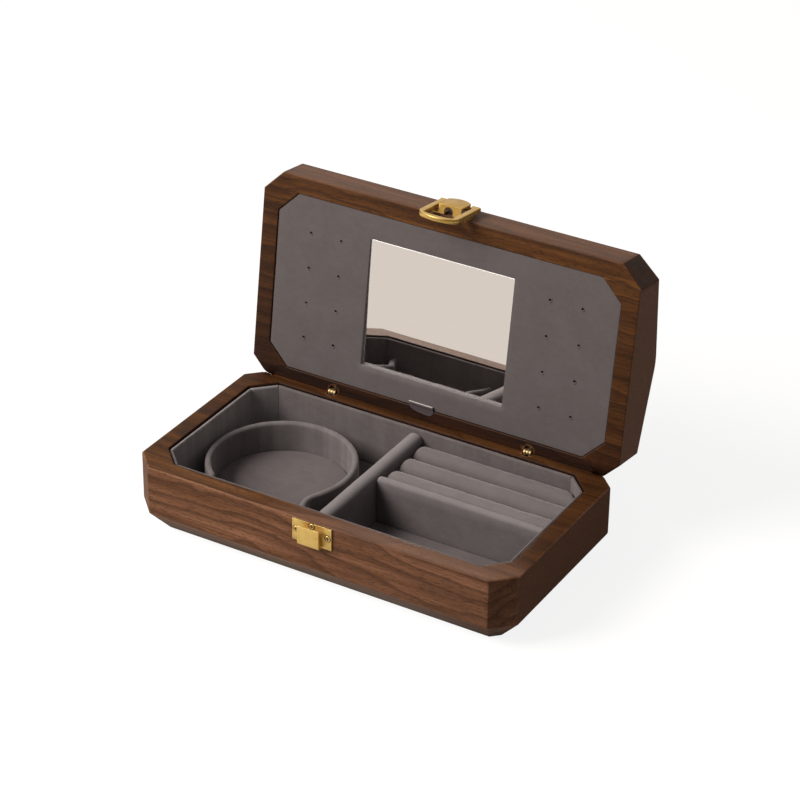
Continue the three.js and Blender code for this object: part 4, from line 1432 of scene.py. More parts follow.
    def lid_tones(
        self, plan: np.ndarray, inset: np.ndarray, grid: np.ndarray
    ) -> tuple[np.ndarray, np.ndarray]:
        """Where the closed lid is stained or painted with shade, and where it is paler or painted with
        reflection.

        Args:
            plan: points in plan of the rows below the brow.
            inset: distance of each of those rows inside the wall.
            grid: all of the lid's points.

        Returns:
            Stain with painted shade, and paler wood with painted reflection, for every point, as sums and
            products of straight rises across the plan.
        """
        tones = self.tones
        on_rim = np.clip(inset / 0.25, 0, 1)[:, None]
        to_hinge = ramp(plan[..., 1], -50, 90)
        on_left = ramp(-plan[..., 0], 80, 10)
        across = np.clip(plan[..., 0] / 60, -1, 1) * (1 - to_hinge)
        left_darkening = tones.lid_left * on_left * (1 - 0.5 * to_hinge)
        # Painted shade: the lid's rim darkens towards the hinges, and fully along its back edge by them.
        rim_darkening = tones.lid_rim + tones.lid_hinge_shade * to_hinge + left_darkening + tones.lid_across * across
        rim_darkening = np.maximum(rim_darkening, ramp(plan[..., 1], 43, 2))
        above = grid[len(plan) :, :, 0].shape
        outside = np.concatenate([1 - on_rim * np.ones(plan.shape[:2]), np.ones(above)])
        on_cut = self.on_cut(grid[..., :2]) * (grid[..., 1] < 0) * outside
        to_right = np.clip(grid[..., 0] / 60, 0, 1)
        wall_stain = outside * (tones.lid_wall + tones.lid_right * to_right) + tones.lid_cut * on_cut
        stained = np.maximum(np.concatenate([on_rim * rim_darkening, np.zeros(above)]), wall_stain)
        # The right end wall gets a painted reflection; the front wall is paler.
        end = outside * (1 - on_cut) * self.on_end(grid)
        front = outside * ramp(-grid[..., 1], 47, 3) * (tones.lid_front - grid[..., 0] / 400)
        sanded = front * (1 - on_cut) + tones.lid_end_sheen * end
        return stained * (1 - end), sanded

    def barrel_holes(self, side: int) -> bpy.types.Object:
        """The round holes for the hinge barrels.

        Args:
            side: -1 for the tray, 1 for the closed lid.

        Returns:
            Both holes as one closed shape.
        """
        edge = SIZES.rim_top if side < 0 else SIZES.lid_face
        low, high = sorted((edge + side * self.barrel_depth, edge - side * self.barrel_past))
        left, right = (
            round_bar((x, SIZES.barrel_y, low), (x, SIZES.barrel_y, high), self.barrel_hole, 40)
            for x in (-SIZES.hinge_spread, SIZES.hinge_spread)
        )
        tool = left.joined(right)
        if side > 0:
            tool = tool.moved(SIZES.swung)
        return put_mesh("barrel_holes", tool)

    def build(self, shop: Workshop) -> None:
        """Builds both shells and cuts the barrels' holes."""
        for name, surface, side, finish, body, node in (
            ("walnut_tray", self.tray(), -1, "walnut_base", Body.BASE, "base_shell"),
            ("walnut_lid", self.lid().moved(SIZES.swung), 1, "walnut_lid", Body.LID, "lid_shell"),
        ):
            shell = put_mesh(name, surface, 30)
            cut_away(shell, self.barrel_holes(side), 30)
            shop.place(shell, finish, Slot.WALNUT, body, [node])


@dataclass
class TrayLining:
    """Velvet-covered boards on the tray's floor and walls, and the dividers between the compartments."""

    seat: float = 0.3
    floor_bottom: float = 7.3
    board_thickness: float = 1.8
    board_drop: float = 0.8
    mitre: float = 0.25
    board_swell: float = 0.16
    divider_width: float = 7.4
    divider_drop: float = 2.8
    divider_crown: float = 2.8
    divider_x: float = -2.5
    cross_width: float = 4.0
    cross_drop: float = 4.0
    cross_crown: float = 2.0
    cross_y: float = 1.4
    names: Sequence[str] = tuple("front front_right right back_right back back_left left front_left".split())
    # Boards whose velvet is lighter as painted light.
    painted_light_boards: tuple[str, ...] = ("back_left", "left")

    def floor(self) -> Surface:
        """Floor board: loops up its rounded edge and a face across its top."""
        low, high = self.floor_bottom, SIZES.floor_top
        profile, _ = soften([(1, low, 0), (0, low, 0.4), (0, high, 0.7), (2.5, high, 0)])
        cut = inset_cut(SIZES.opening_cut, self.seat)
        half_x, half_y = SIZES.opening_half_width - self.seat, SIZES.opening_half_depth - self.seat
        plan, _ = cut_corner_loops(half_x, half_y, cut, profile[:, 0], 0.5)
        return Surface.from_grid(raised(plan, np.broadcast_to(profile[:, 1:], plan.shape[:2])))

    def corners(self, inset: float) -> np.ndarray:
        """The eight corners of the tray's opening moved in."""
        return corner_spots(SIZES.opening_half_width, SIZES.opening_half_depth, SIZES.opening_cut, inset)[0]

    def board(self, index: int) -> Surface:
        """One wall board: its rounded end view carried from one mitre to the next, with a slight swell.

        Args:
            index: which of the eight sides, from the front one anticlockwise.

        Returns:
            The closed board.
        """
        height = SIZES.standing(self.board_drop)
        view = round_topped(self.board_thickness, height, crown=1.0, foot=0.3)
        depth = view[:, 0] + self.board_thickness / 2
        outer = self.corners(self.seat)
        inner = self.corners(self.seat + self.board_thickness)
        following = (index + 1) % 8
        along = outer[following] - outer[index]
        length = np.linalg.norm(along)
        along = along / length
        share = (depth / self.board_thickness)[:, None]
        start = outer[index] * (1 - share) + inner[index] * share + along * self.mitre / 2
        end = outer[following] * (1 - share) + inner[following] * share - along * self.mitre / 2
        places, slack = soft_stations(0, 1, min(0.8 / length, 0.3), 2.5 / length)
        line = start[None] * (1 - places)[:, None, None] + end[None] * places[:, None, None]
        z = SIZES.stand + view[None, :, 1] - slack[:, None] * 0.35 * (view[None, :, 1] / height)
        inwards = np.array([-along[1], along[0]])
        swell = self.board_swell * ripple(raised(line, z), size=26.0, seed=11 + index)
        line = line + (swell * share[:, 0] * (1 - slack[:, None]))[..., None] * inwards
        return Surface.from_grid(raised(line, z)[:, ::-1], values={"along": places[:, None] * length})

    def centre_divider(self) -> Surface:
        """Long divider from the front lining to the back one, with drawn-in ends."""
        view = round_topped(self.divider_width, SIZES.standing(self.divider_drop), self.divider_crown)
        reach = SIZES.inside_half_depth - self.seat
        ends = {"end_radius": 0.9, "end_drop": 0.5, "draw": 0.3}
        return padded_bar(view, 1, -reach, reach, self.divider_x, **ends, seed=31)

    def cross_divider(self) -> Surface:
        """Short divider in front of the ring rolls, with a rounded corner at its left end."""
        view = round_topped(self.cross_width, SIZES.standing(self.cross_drop), self.cross_crown)
        low = self.divider_x + self.divider_width / 2 + self.seat
        high = SIZES.inside_half_width - self.seat
        ends = {"end_radius": 1.8, "end_drop": 1.3, "draw": 0.35}
        return padded_bar(view, 0, low, high, self.cross_y, **ends, seed=32)

    def build(self, shop: Workshop) -> None:
        """Builds the floor, the eight wall boards and the two dividers."""
        floor = self.floor()
        shop.velvet("velvet_floor_board", floor, "velvet_floor", "floor_board", fill=1.0, sharp_angle=35)
        for index, name in enumerate(self.names):
            finish = "velvet_board_painted_light" if name in self.painted_light_boards else "velvet_board"
            shop.velvet(f"velvet_lining_{name}", self.board(index), finish, f"lining_{name}")
        shop.velvet("velvet_centre_divider", self.centre_divider(), "velvet_divider", "centre_divider")
        shop.velvet("velvet_cross_divider", self.cross_divider(), "velvet_divider", "cross_divider")


def padded_bar(
    view: np.ndarray,
    axis: int,
    low: float,
    high: float,
    middle: float,
    end_radius: float,
    end_drop: float,
    draw: float,
    seed: int,
    swell: float = 0.14,
) -> Surface:
    """A stuffed bar: an end view carried along X or Y, drawn in at its rounded ends and slightly uneven.

    At each end the view is narrowed by the draw and lowered by the drop, both times the slack. The unevenness
    is a long and a short ripple that grow from the foot to the crown.

    Args:
        view: end view as (across, up) from zero.
        axis: 0 for a bar along X, 1 for one along Y.
        low: the bar's one end.
        high: its other end.
        middle: where its middle lies across.
        end_radius: length of the rounded ends.
        end_drop: how far the crown falls at the very ends.
        draw: how far each wall draws in at the very ends.
        seed: which unevenness it has.
        swell: the greatest unevenness.

    Returns:
        The closed bar.
    """
    places, slack = soft_stations(low, high, end_radius, 1.6)
    half, height = view[:, 0].max(), view[:, 1].max()
    rise = (view[:, 1] / height)[None]
    across = view[None, :, 0] * (1 - slack[:, None] * draw / half)
    up = view[None, :, 1] - slack[:, None] * end_drop * rise
    along = np.broadcast_to(places[:, None], across.shape)
    x, y = (along, across + middle) if axis == 0 else (across + middle, along)
    grid = np.stack([x, y, up + SIZES.stand], axis=-1)
    uneven = ripple(grid, 15.0, seed) * 0.7 + ripple(grid, 6.0, seed + 100) * 0.3
    grid[..., 2] += swell * uneven * rise**2
    grid[..., 1 if axis == 0 else 0] += 0.4 * swell * uneven * np.sign(view[None, :, 0]) * rise
    if axis == 0:
        grid = grid[:, ::-1]
    # Painted sheen along the top of the bar, read by the velvet as its crown value.
    crown = ramp(view[:, 1] / height, 0.82, 0.18) ** 1.5
    crown = np.broadcast_to(crown[None], grid.shape[:2])
    crown = crown[:, ::-1] if axis == 0 else crown
    return Surface.from_grid(grid[:, ::-1], values={"along": places[:, None], "crown": crown[:, ::-1]})


@dataclass
class RingRolls:
    """Three padded rolls that grip rings in the slots between them."""

    count: int = 3
    low_x: float = 2.0
    high_x: float = 88.8
    low_y: float = 3.8
    pitch: float = 12.9
    thickness: float = 12.5
    drop: float = 5.8
    crown: float = 5.2
    corner_sum: float = 121.8
    swell: float = 0.26

    def roll(self, index: int) -> Surface:
        """One roll, sheared in plan where the tray's cut corner takes its right end.

        Args:
            index: 0 for the front roll.

        Returns:
            The closed roll. Beyond the cut corner, x is scaled so that x and y add up to the corner's sum.
        """
        view = round_topped(self.thickness, SIZES.standing(self.drop), self.crown, foot=0.8, steps=22)
        middle = self.low_y + index * self.pitch + self.thickness / 2
        ends = {"end_radius": 3.2, "end_drop": 2.6, "draw": 0.7}
        bar = padded_bar(view, 0, self.low_x, self.high_x, middle, **ends, seed=41 + index, swell=self.swell)

        def sheared(points: np.ndarray) -> np.ndarray:
            limit = np.minimum(self.high_x, self.corner_sum - points[:, 1])
            scale = (limit - self.low_x) / (self.high_x - self.low_x)
            out = points.copy()
            out[:, 0] = self.low_x + (points[:, 0] - self.low_x) * scale
            return out

        return bar.moved(sheared)

    def build(self, shop: Workshop) -> None:
        """Builds the rolls."""
        for index in range(self.count):
            node = f"ring_roll_{index + 1}"
            # Later rolls take darker velvet as painted shade towards the back.
            shop.velvet(f"velvet_{node}", self.roll(index), f"velvet_roll_{index + 1}", node, fill=0.95)


@dataclass
class BangleHolder:
    """C-shaped padded wall that bangles go round, with a pad on the floor inside it."""

    centre: tuple[float, float] = (-50.0, -1.0)
    outer_radius: float = 36.2
    thickness: float = 3.2
    drop: float = 10.0
    right_angle: float = np.radians(-28.0)
    left_angle: float = np.radians(-130.0)
    right_tail: float = 2.0
    left_tail: float = 1.5
    seat: float = 0.3
    pad_thickness: float = 3.0
    unevenness: float = 0.12
    flute_depth: float = 0.028
    flute_pitch: float = 9.6
    fine_pitch: float = 5.1

    def line(self) -> np.ndarray:
        """The wall's middle line: an arc whose two tails swing out to the front lining.

        Returns:
            Points as (x, y), from the right tail's foot over the back to the left tail's foot.
        """
        radius = self.outer_radius - self.thickness / 2
        centre = np.array(self.centre)
        foot_y = -SIZES.inside_half_depth + self.seat

        def at(angle: np.ndarray) -> np.ndarray:
            return centre + radius * np.stack([np.cos(angle), np.sin(angle)], axis=-1)

        def tail(angle: float, way: float, shift: float) -> np.ndarray:
            start = at(np.array(angle))
            heading = np.array([-np.sin(angle), np.cos(angle)])
            pull = (start[1] - foot_y) / 2
            end = np.array([start[0] + shift, foot_y])
            leave, arrive = start + heading * way * pull, end + np.array([0, pull])
            t = np.linspace(0, 1, 25)[:, None]
            bend = 3 * t * (1 - t) ** 2 * leave + 3 * t**2 * (1 - t) * arrive
            return (1 - t) ** 3 * start + bend + t**3 * end

        sweep = np.linspace(self.right_angle, self.left_angle + 2 * np.pi, 150)[1:-1]
        right = tail(self.right_angle, -1, self.right_tail)[::-1]
        left = tail(self.left_angle, 1, -self.left_tail)
        return np.concatenate([right, at(sweep), left])

    def wall(self) -> Surface:
        """The wall: a round-topped end view carried along the middle line, with faint flutes outside.

        The flutes are two sine waves along the line, the finer one half as deep.
        """
        line = self.line()
        run = run_along(line)
        view = round_topped(self.thickness, SIZES.standing(self.drop), crown=1.5, foot=0.3)
        rise = (view[:, 1] / view[:, 1].max())[None]
        turn, deep = 2 * np.pi * run, self.flute_depth
        flute = deep * np.sin(turn / self.flute_pitch) + deep / 2 * np.sin(turn / self.fine_pitch + 1)
        across = view[None, :, 0] + (flute[:, None] * (view[:, 0] > 0)[None] * (rise < 0.98))
        plan = line[:, None] + left_of(line)[:, None] * across[..., None]
        uneven = self.unevenness * ripple(line, size=22.0, seed=51)
        z = SIZES.stand + view[None, :, 1] + uneven[:, None] * rise**3
        # Painted sheen along the top of the wall, read by the velvet as its crown value.
        crown = ramp(rise, 0.9, 0.1) * 0.8
        return Surface.from_grid(raised(plan, z), values={"along": run[:, None], "crown": crown})

    def pad(self) -> Surface:
        """The floor pad: its outline shrunk towards the ring's centre in steps, with a low crown."""
        line = self.line()
        outline = line + left_of(line) * (self.thickness / 2 + self.seat)
        outline = np.concatenate([outline, np.linspace(outline[-1], outline[0], 40)[1:-1]])
        centre = np.array(self.centre)
        top = SIZES.stand + self.pad_thickness
        profile, _ = soften([(2, SIZES.stand, 0), (0, SIZES.stand, 0.4), (0, top, 0.9), (2.5, top, 0)], 4)
        reach = np.linalg.norm(outline - centre, axis=-1)[None, :, None]
        rim = centre + (outline - centre)[None] * (1 - profile[:, :1, None] / reach)
        inward = np.array([0.88, 0.7, 0.5, 0.3, 0.12])[:, None, None]
        middle = centre + (rim[-1] - centre)[None] * inward
        z = np.concatenate([np.broadcast_to(profile[:, 1:], rim.shape[:2]), np.full(middle.shape[:2], top)])
        grid = raised(np.concatenate([rim, middle]), z)
        grid[len(rim) :, :, 2] += self.unevenness * ripple(grid[len(rim) :, :, :2], size=24.0, seed=61)
        return Surface.from_grid(grid)

    def build(self, shop: Workshop) -> None:
        """Builds the wall and the pad."""
        shop.velvet("velvet_bangle_ring", self.wall(), "velvet_ring", "bangle_ring")
        shop.velvet("velvet_bangle_pad", self.pad(), "velvet_floor", "bangle_pad", fill=0.8)


@dataclass
class PullTab:
    """Ribbon tab that comes through the lid's panel near its edge and folds over it.

    Attributes:
        edge: where the panel's edge lies in y.
        front: depth of the panel's front.
        back: depth of its back.
        half_width: half the ribbon's width.
        x: where its middle lies at the slot.
        thickness: its thickness.
        turn_run: how far along the ribbon it starts to move aside and turn.
        sag: how far its middle sags past the fold.
        shift: how far its end moves aside.
        slope: how strongly its end turns.
        corner_run: length of the end's rounded corners along the ribbon.
        corner_width: their width across it.
        painted_hem_highlight: strength of the painted highlight on the hem at the end.
        painted_selvedge_highlight: strength of the painted highlight on the long edges.
    """

    edge: float
    front: float
    back: float
    half_width: float = 6.5
    x: float = -5.3
    thickness: float = 0.25
    turn_run: float = 4.5
    sag: float = 0.35
    shift: float = 1.3
    slope: float = 0.05
    corner_run: float = 2.2
    corner_width: float = 3.0
    painted_hem_highlight: float = 0.08
    painted_selvedge_highlight: float = 0.06

    def line(self) -> tuple[np.ndarray, np.ndarray]:
        """The ribbon's middle line, closed: up through the slot, out, over the fold and down to its flat end.

        The end lies flat in the gap between the two rims.

        Returns:
            Points as (y, z), with more of them between the bends, and their run along the line.
        """
        edge, front = self.edge, self.front
        spots = [
            (edge - 0.35, self.back, 0),
            (edge - 0.35, front - 0.35, 0.5),
            (edge - 2.0, front - 0.5, 0.25),
            (edge - 2.35, front - 0.95, 0.35),
            (edge - 1.4, front - 1.1, 0.5),
            (edge - 0.55, front - 0.75, 0.3),
            (edge + 2.0, front - 0.75, 0),
        ]
        line, _ = soften(spots, 7)
        steps = run_along(line)
        between = np.linspace(0, steps[-1], 45)
        between = between[np.min(np.abs(between[:, None] - steps[None]), axis=1) > 0.08]
        run = np.sort(np.concatenate([steps, between]))
        return np.stack([np.interp(run, steps, line[:, axis]) for axis in (0, 1)], axis=-1), run

    def ribbon(self) -> Surface:
        """The ribbon, closed: a flat section with softened long edges, carried along the tab's middle line.

        Past the fold it sags a little between its long edges, moves to the side and turns, and its end has
        rounded corners. The fold, the hem and the long edges are marked for a painted highlight.

        Returns:
            The closed ribbon.
        """
        line, run = self.line()
        side = left_of(line, run)
        half, wide = self.thickness / 2, self.half_width
        turn = np.linspace(-np.pi / 2, np.pi / 2, 5)
        flat = np.linspace(wide - 1, -wide + 1, 9)
        rounded, rising, level = half * np.cos(turn), half * np.sin(turn), np.full(9, half)
        across = np.concatenate([wide - half + rounded, flat, -wide + half - rounded, flat[::-1]])[None]
        lift = np.concatenate([rising, level, -rising, -level])[None]
        end = run[-1]
        sag = self.sag * ramp(run, 5, 6)[:, None] * np.cos(across / wide * np.pi / 2)
        at_corner = ramp(run, end - self.corner_run, self.corner_run)[:, None]
        rounding = self.corner_width * (1 - np.sqrt(1 - 0.96 * at_corner**2)) / wide
        past = ramp(run, self.turn_run, end - self.turn_run)[:, None]
        x = across * (1 - rounding) + self.x + self.shift * past
        y = line[:, :1] + side[:, :1] * lift + sag + self.slope * (across + wide) * past
        z = line[:, 1:] + side[:, 1:] * lift
        fold_run = run[np.argmin(line[:, 0])]
        # Painted highlight along the fold, the hem and the long edges, carried in the edge value.
        fold_highlight = hump(run, fold_run, 0.32)[:, None]
        hem_highlight = ramp(run, end - 0.4, 0.3)[:, None] * self.painted_hem_highlight
        beyond_fold = ramp(run, fold_run, 0.5)[:, None]
        selvedge_highlight = ramp(np.abs(across) - wide, -0.5, 0.5) * beyond_fold * self.painted_selvedge_highlight
        light = np.maximum(np.maximum(fold_highlight, hem_highlight), selvedge_highlight)
        return Surface.from_grid(np.stack([x, y, z], axis=-1), values={"along": run[:, None], "edge": light})

    def build(self, shop: Workshop) -> None:
        """Builds the ribbon."""
        tab = put_mesh("ribbon_pull_tab", self.ribbon().moved(SIZES.swung), 60)
        shop.place(tab, "tab_ribbon", Slot.RIBBON, Body.LID, ["pull_tab"])


@dataclass
class LidPanel:
    """Velvet panel with the mirror's opening and the earring holes, the mirror, its card and the tab."""

    front: float = 38.2
    back: float = 41.2
    gap: float = 0.15
    opening_half_width: float = 38.4
    opening_half_height: float = 32.0
    opening_x: float = -1.5
    lap: float = 3.0
    glass_gap: float = 0.15
    glass_front: float = 39.5
    glass_thickness: float = 1.6
    glass_bevel: float = 0.45
    glass_bevel_fall: float = 0.13
    glass_edge_fall: float = 0.35
    glass_edge_fade: float = 0.06
    lean: float = np.radians(1.25)
    hole_radius: float = 0.6
    column_inner: float = 55.8
    column_pitch: float = 16.7
    row_pitch: float = 17.8
    rows: int = 4
    unevenness: float = 0.1
    pucker_depth: float = 0.16
    pucker_height: float = 0.28
    lip_thickness: float = 0.14
    lip_swell: float = 0.2
    lip_gap: float = 0.12

    def hole_places(self) -> np.ndarray:
        """Middles of the earring holes as (x, y): two columns on each side of the mirror."""
        x = np.array([-1, -1, 1, 1]) * (self.column_inner + np.array([0, 1, 0, 1]) * self.column_pitch)
        y = (np.arange(self.rows) - (self.rows - 1) / 2) * self.row_pitch
        return np.stack(np.meshgrid(x, y, indexing="ij"), axis=-1).reshape(-1, 2)

    def panel(self) -> Surface:
        """The panel, closed: rows go from the mirror's opening over the front and round to the back.

        Near each edge a row is a loop at a fixed distance from it. Between them it is a share of the way from
        the opening's loop to the outer one. Small waves pucker the edge below the mirror.

        Returns:
            The closed surface.
        """
        cut = float(inset_cut(SIZES.opening_cut, np.array(self.gap)))
        half_x, half_y = SIZES.opening_half_width - self.gap, SIZES.opening_half_depth - self.gap
        reach = self.lap + 2 * self.glass_gap
        seat = self.glass_front - self.glass_gap
        rebate = np.array([(reach, self.back), (reach, seat), (0, seat)])
        lip, _ = soften([(0, self.front + 0.3, 0), (0, self.front, 0.25), (3, self.front, 0)])
        inner_line = np.concatenate([rebate, lip[1:]])
        leans = np.array([0.0, 1.0, 1.0] + [0.0] * (len(inner_line) - 3))
        outer_line, _ = soften(
            [(3, self.front, 0), (0, self.front, 0.45), (0, self.back, 0.3), (4, self.back, 0)]
        )
        wide, high = self.opening_half_width, self.opening_half_height
        inner, _ = cut_corner_loops(wide, high, 0.3, -inner_line[:, 0], 0.15)
        inner[..., 0] += self.opening_x
        outer, _ = cut_corner_loops(half_x, half_y, cut, outer_line[:, 0], 0.6)
        share = np.linspace(0, 1, 24)[1:-1, None, None]
        middle = inner[-1] * (1 - share) + outer[0] * share
        plan = np.concatenate([inner, middle, outer])
        z = np.concatenate([inner_line[:, 1], np.full(len(middle), self.front), outer_line[:, 1]])
        leaning = np.concatenate([leans, np.zeros(len(middle) + len(outer_line))])
        grid = raised(plan, z[:, None] + leaning[:, None] * plan[..., 1] * np.tan(self.lean))
        on_front = np.clip((self.back - grid[..., 2]) / (self.back - self.front), 0, 1)
        grid[..., 2] -= self.unevenness * ripple(plan, size=34.0, seed=71) * on_front
        below = hump(grid[..., 1] - self.opening_half_height, 0.6, 1.6)
        beside = np.abs(grid[..., 0] - self.opening_x)
        below = below * np.clip((self.opening_half_width + 2 - beside) / 4, 0, 1)
        waves = np.sin(grid[..., 0] / 1.35) * 0.6 + np.sin(grid[..., 0] / 0.83 + 1) * 0.4
        grid[..., 2] -= self.pucker_depth * below * waves * on_front
        grid[..., 1] -= self.pucker_height * below * (0.6 + 0.4 * np.sin(grid[..., 0] / 3.1)) * on_front
        # The puckered edge below the mirror gets a painted sheen through its crown value.
        return Surface.from_grid(grid, rows_close=True, values={"crown": np.clip(below * 1.3, 0, 1) * 0.9})

    def glass(self) -> Surface:
        """The mirror, closed: a flat field, a narrow ground bevel that runs on under the lip, and a back.

        The ground bevel falls steeply just inside the opening and gently under the lip. The whole plate then
        leans: the depth grows by y times the lean's slope.

        Returns:
            The closed glass.
        """
        wide = self.lap + self.glass_bevel
        line = np.array(
            [
                (0, self.glass_thickness),
                (0, self.glass_edge_fall),
                (self.lap - 0.1, self.glass_bevel_fall),
                (wide, 0.0),
                (wide + self.glass_edge_fade, 0.0),
            ]
        )
        ground = np.array([1.0, 1.0, 1.0, 1.0, 0.0])[:, None]
        corners = np.array([(-1, -1), (1, -1), (1, 1), (-1, 1)], dtype=float)
        half = np.array([self.opening_half_width + self.lap, self.opening_half_height + self.lap])
        plan = corners[None] * (half - line[:, :1])[:, None] + np.array([self.opening_x, 0.0])
        z = self.glass_front + line[:, 1:] + plan[..., 1] * np.tan(self.lean)
        return Surface.from_grid(raised(plan, z)[:, ::-1], values={"ground": ground})

    def lips(self) -> Surface:
        """Raised lips round the earring holes: small rings, thicker on their lower side.

        Each ring's tube has a radius that grows from the hole's upper side to its lower side.

        Returns:
            All lips as one surface.
        """
        around = np.arange(20) / 20 * 2 * np.pi
        tube = np.arange(8) / 8 * 2 * np.pi
        thick = self.lip_thickness + self.lip_swell * np.clip(np.sin(around), 0, 1) ** 2
        reach = self.hole_radius + self.lip_gap + thick[:, None] * (1 + np.cos(tube))
        ring = np.stack(
            [
                reach * np.cos(around)[:, None],
                reach * np.sin(around)[:, None],
                -thick[:, None] * np.sin(tube) * 0.9 + self.front * np.ones((20, 8)),
            ],
            axis=-1,
        )
        grids = [(ring + np.array([x, y, 0.0]))[:, ::-1] for x, y in self.hole_places()]
        return reduce(Surface.joined, [Surface.from_grid(grid, rows_close=True) for grid in grids])

    def hole_cutters(self) -> bpy.types.Object:
        """Round bars through the panel at every earring hole, as one cutting shape."""
        low, high = self.front - 2, self.back + 2
        bars = [round_bar((x, y, low), (x, y, high), self.hole_radius, 16) for x, y in self.hole_places()]
        return put_mesh("hole_cutters", reduce(Surface.joined, bars).moved(SIZES.swung))

    def build(self, shop: Workshop) -> None:
        """Builds the panel, the mirror and the tab, and dresses the mirror's card."""
        panel = put_mesh("velvet_earring_panel", self.panel().moved(SIZES.swung), 50)
        cut_away(panel, self.hole_cutters(), 50)
        shop.place(panel, "velvet_panel", Slot.VELVET, Body.LID, ["earring_panel"], fill=0.9)
        lips = put_mesh("velvet_hole_lips", self.lips().moved(SIZES.swung), 60)
        shop.place(lips, "velvet_panel", Slot.VELVET, Body.LID, fill=1.0)
        PullTab(SIZES.opening_half_depth - self.gap, self.front, self.back).build(shop)
        glass = put_mesh("mirror_glass", self.glass().moved(SIZES.swung), 4)
        shop.place(glass, "mirror_silver", Slot.MIRROR, Body.LID, ["mirror"])
        shop.keep("mirror_backing", "dark_card")


@dataclass
class LatchLoop:
    """The latch's brass loop: a frame with an eye at the head of each arm, on the latch's pin."""

    pin_y: float = -55.9
    pin_z: float = 47.7
    half_width: float = 10.3
    arm_width: float = 2.8
    thickness: float = 2.8
    outer_corner: float = 20.5
    outer_middle: float = 25.2
    eye_proud: float = 0.06
    foot_middle: float = 23.6
    foot_thickness: float = 1.5
    inner_corner: float = 21.8
    inner_middle: float = 22.4
    eye_radius: float = 1.5
    section_ease: float = 0.45
    foot_step: float = 0.3
    groove_depth: float = 0.3
    groove_width: float = 0.22
    bar_start: float = 17.5
    eye_bore: float = 0.75
    eye_pit: float = 0.25
    bridge_half: float = 5.9

    def lines(self, arm: np.ndarray, bar: np.ndarray) -> tuple[np.ndarray, np.ndarray]:
        """The loop's outer and inner line: down one arm, along the bowed bar and up the other arm.

        The bar's lines bow by one less the square of the way across. The outer corners are arcs of 1 mm.

        Args:
            arm: shares of the way down an arm, as a column.
            bar: ways across the bar from -1 to 1, as a column.

        Returns:
            Two arrays of points as (across, up), with the pin at zero.
        """
        wide, inner_wide = self.half_width, self.half_width - self.arm_width
        outer_bow = self.outer_middle - self.outer_corner
        inner_bow = self.inner_middle - self.inner_corner
        near_corner = np.clip(wide * np.abs(bar) - wide + 1.0, 0, 1)
        lift = 1.0 - np.sqrt(1 - near_corner**2)
        outer_arm = np.concatenate([np.full_like(arm, wide), (1 - self.outer_corner) * arm], axis=1)
        inner_arm = np.concatenate([np.full_like(arm, inner_wide), -self.inner_corner * arm * 0.94], axis=1)
        bow = 1 - bar**2
        outer_bar = np.concatenate([-wide * bar, -self.outer_corner - outer_bow * bow + lift], axis=1)
        inner_bar = np.concatenate([-inner_wide * bar, -self.inner_corner - inner_bow * bow], axis=1)
        flip = np.array([-1.0, 1.0])
        outer = np.concatenate([outer_arm, outer_bar, outer_arm[::-1] * flip])
        inner = np.concatenate([inner_arm, inner_bar, inner_arm[::-1] * flip])
        return outer, inner

    def section(self, width: np.ndarray) -> tuple[np.ndarray, np.ndarray]:
        """The frame's four-sided section with softened corners, at every step along the frame.

        Args:
            width: distance between the inner and the outer line at each step, as a column.

        Returns:
            For each step and each point of the section, its share of the way from the inner line to the outer
            one, and its place from the front, at less than half the thickness, to the back.
        """
        half = self.thickness / 2
        bend = 1 - np.sin(np.linspace(0, np.pi / 2, 5))[None]
        ease = self.section_ease / width
        outer_bend, inner_bend = 1 - ease * bend, ease * bend
        round_off = half - self.section_ease * (1 - np.cos(np.linspace(0, np.pi / 2, 5)))[None]
        across = np.linspace(0, 1, 15)[1:-1]
        down_side = np.linspace(-1, 1, 15)[None, 1:-1] * (half - self.section_ease)
        flat = np.full((1, 13), half)
        rows = [
            (inner_bend[:, ::-1], -round_off[:, ::-1]),
            (across[None] * (1 - 2 * ease) + ease, -flat),
            (outer_bend, -round_off),
            (np.ones((1, 13)), down_side),
            (outer_bend[:, ::-1], round_off[:, ::-1]),
            ((1 - across)[None] * (1 - 2 * ease) + ease, flat),
            (inner_bend, round_off),
        ]
        shares, places = (
            np.concatenate([np.broadcast_to(side, (len(width), side.shape[1])) for side in sides], axis=1)
            for sides in zip(*rows)
        )
        return shares, places

    def frame(self) -> Surface:
        """The loop's frame: its section carried down one arm, along the bowed bar and up the other arm.

        The lower part of the bar stands back as a foot, by a smooth step across the section, and a groove
        parts it from the ridge above.

        Returns:
            The closed frame, drawn with the pin at zero.
        """
        arm = np.linspace(0, 1, 12)[:-1, None]
        bar = np.sin(np.linspace(-np.pi / 2, np.pi / 2, 61))[:, None]
        outer, inner = self.lines(arm, bar)
        width = np.linalg.norm(outer - inner, axis=1)[:, None]
        share, place = self.section(width)
        half = self.thickness / 2
        on_bar = ramp(-outer[:, 1], self.bar_start, 3.0)[:, None]
        zero = np.zeros_like(arm)
        set_back = np.concatenate([zero, (self.outer_middle - self.foot_middle) * (1 - bar**2), zero])
        to_foot = place - half + self.foot_thickness
        below = np.clip(to_foot / self.foot_step + 0.5, 0, 1)
        step = below * below * (3 - 2 * below)
        groove = self.groove_depth * hump(to_foot, 0, self.groove_width) * on_bar
        drawn = share * (1 - (set_back * step + groove) / width)
        plane = inner[:, None] + (outer - inner)[:, None] * drawn[..., None]
        grid = np.stack([plane[..., 0], place, plane[..., 1]], axis=-1)
        to_edge = np.minimum(np.minimum(share, 1 - share) * width, half - np.abs(place))
        edge = np.clip(1 - to_edge / 0.3, 0, 1)
        return Surface.from_grid(grid, values={"edge": edge * 0.6})

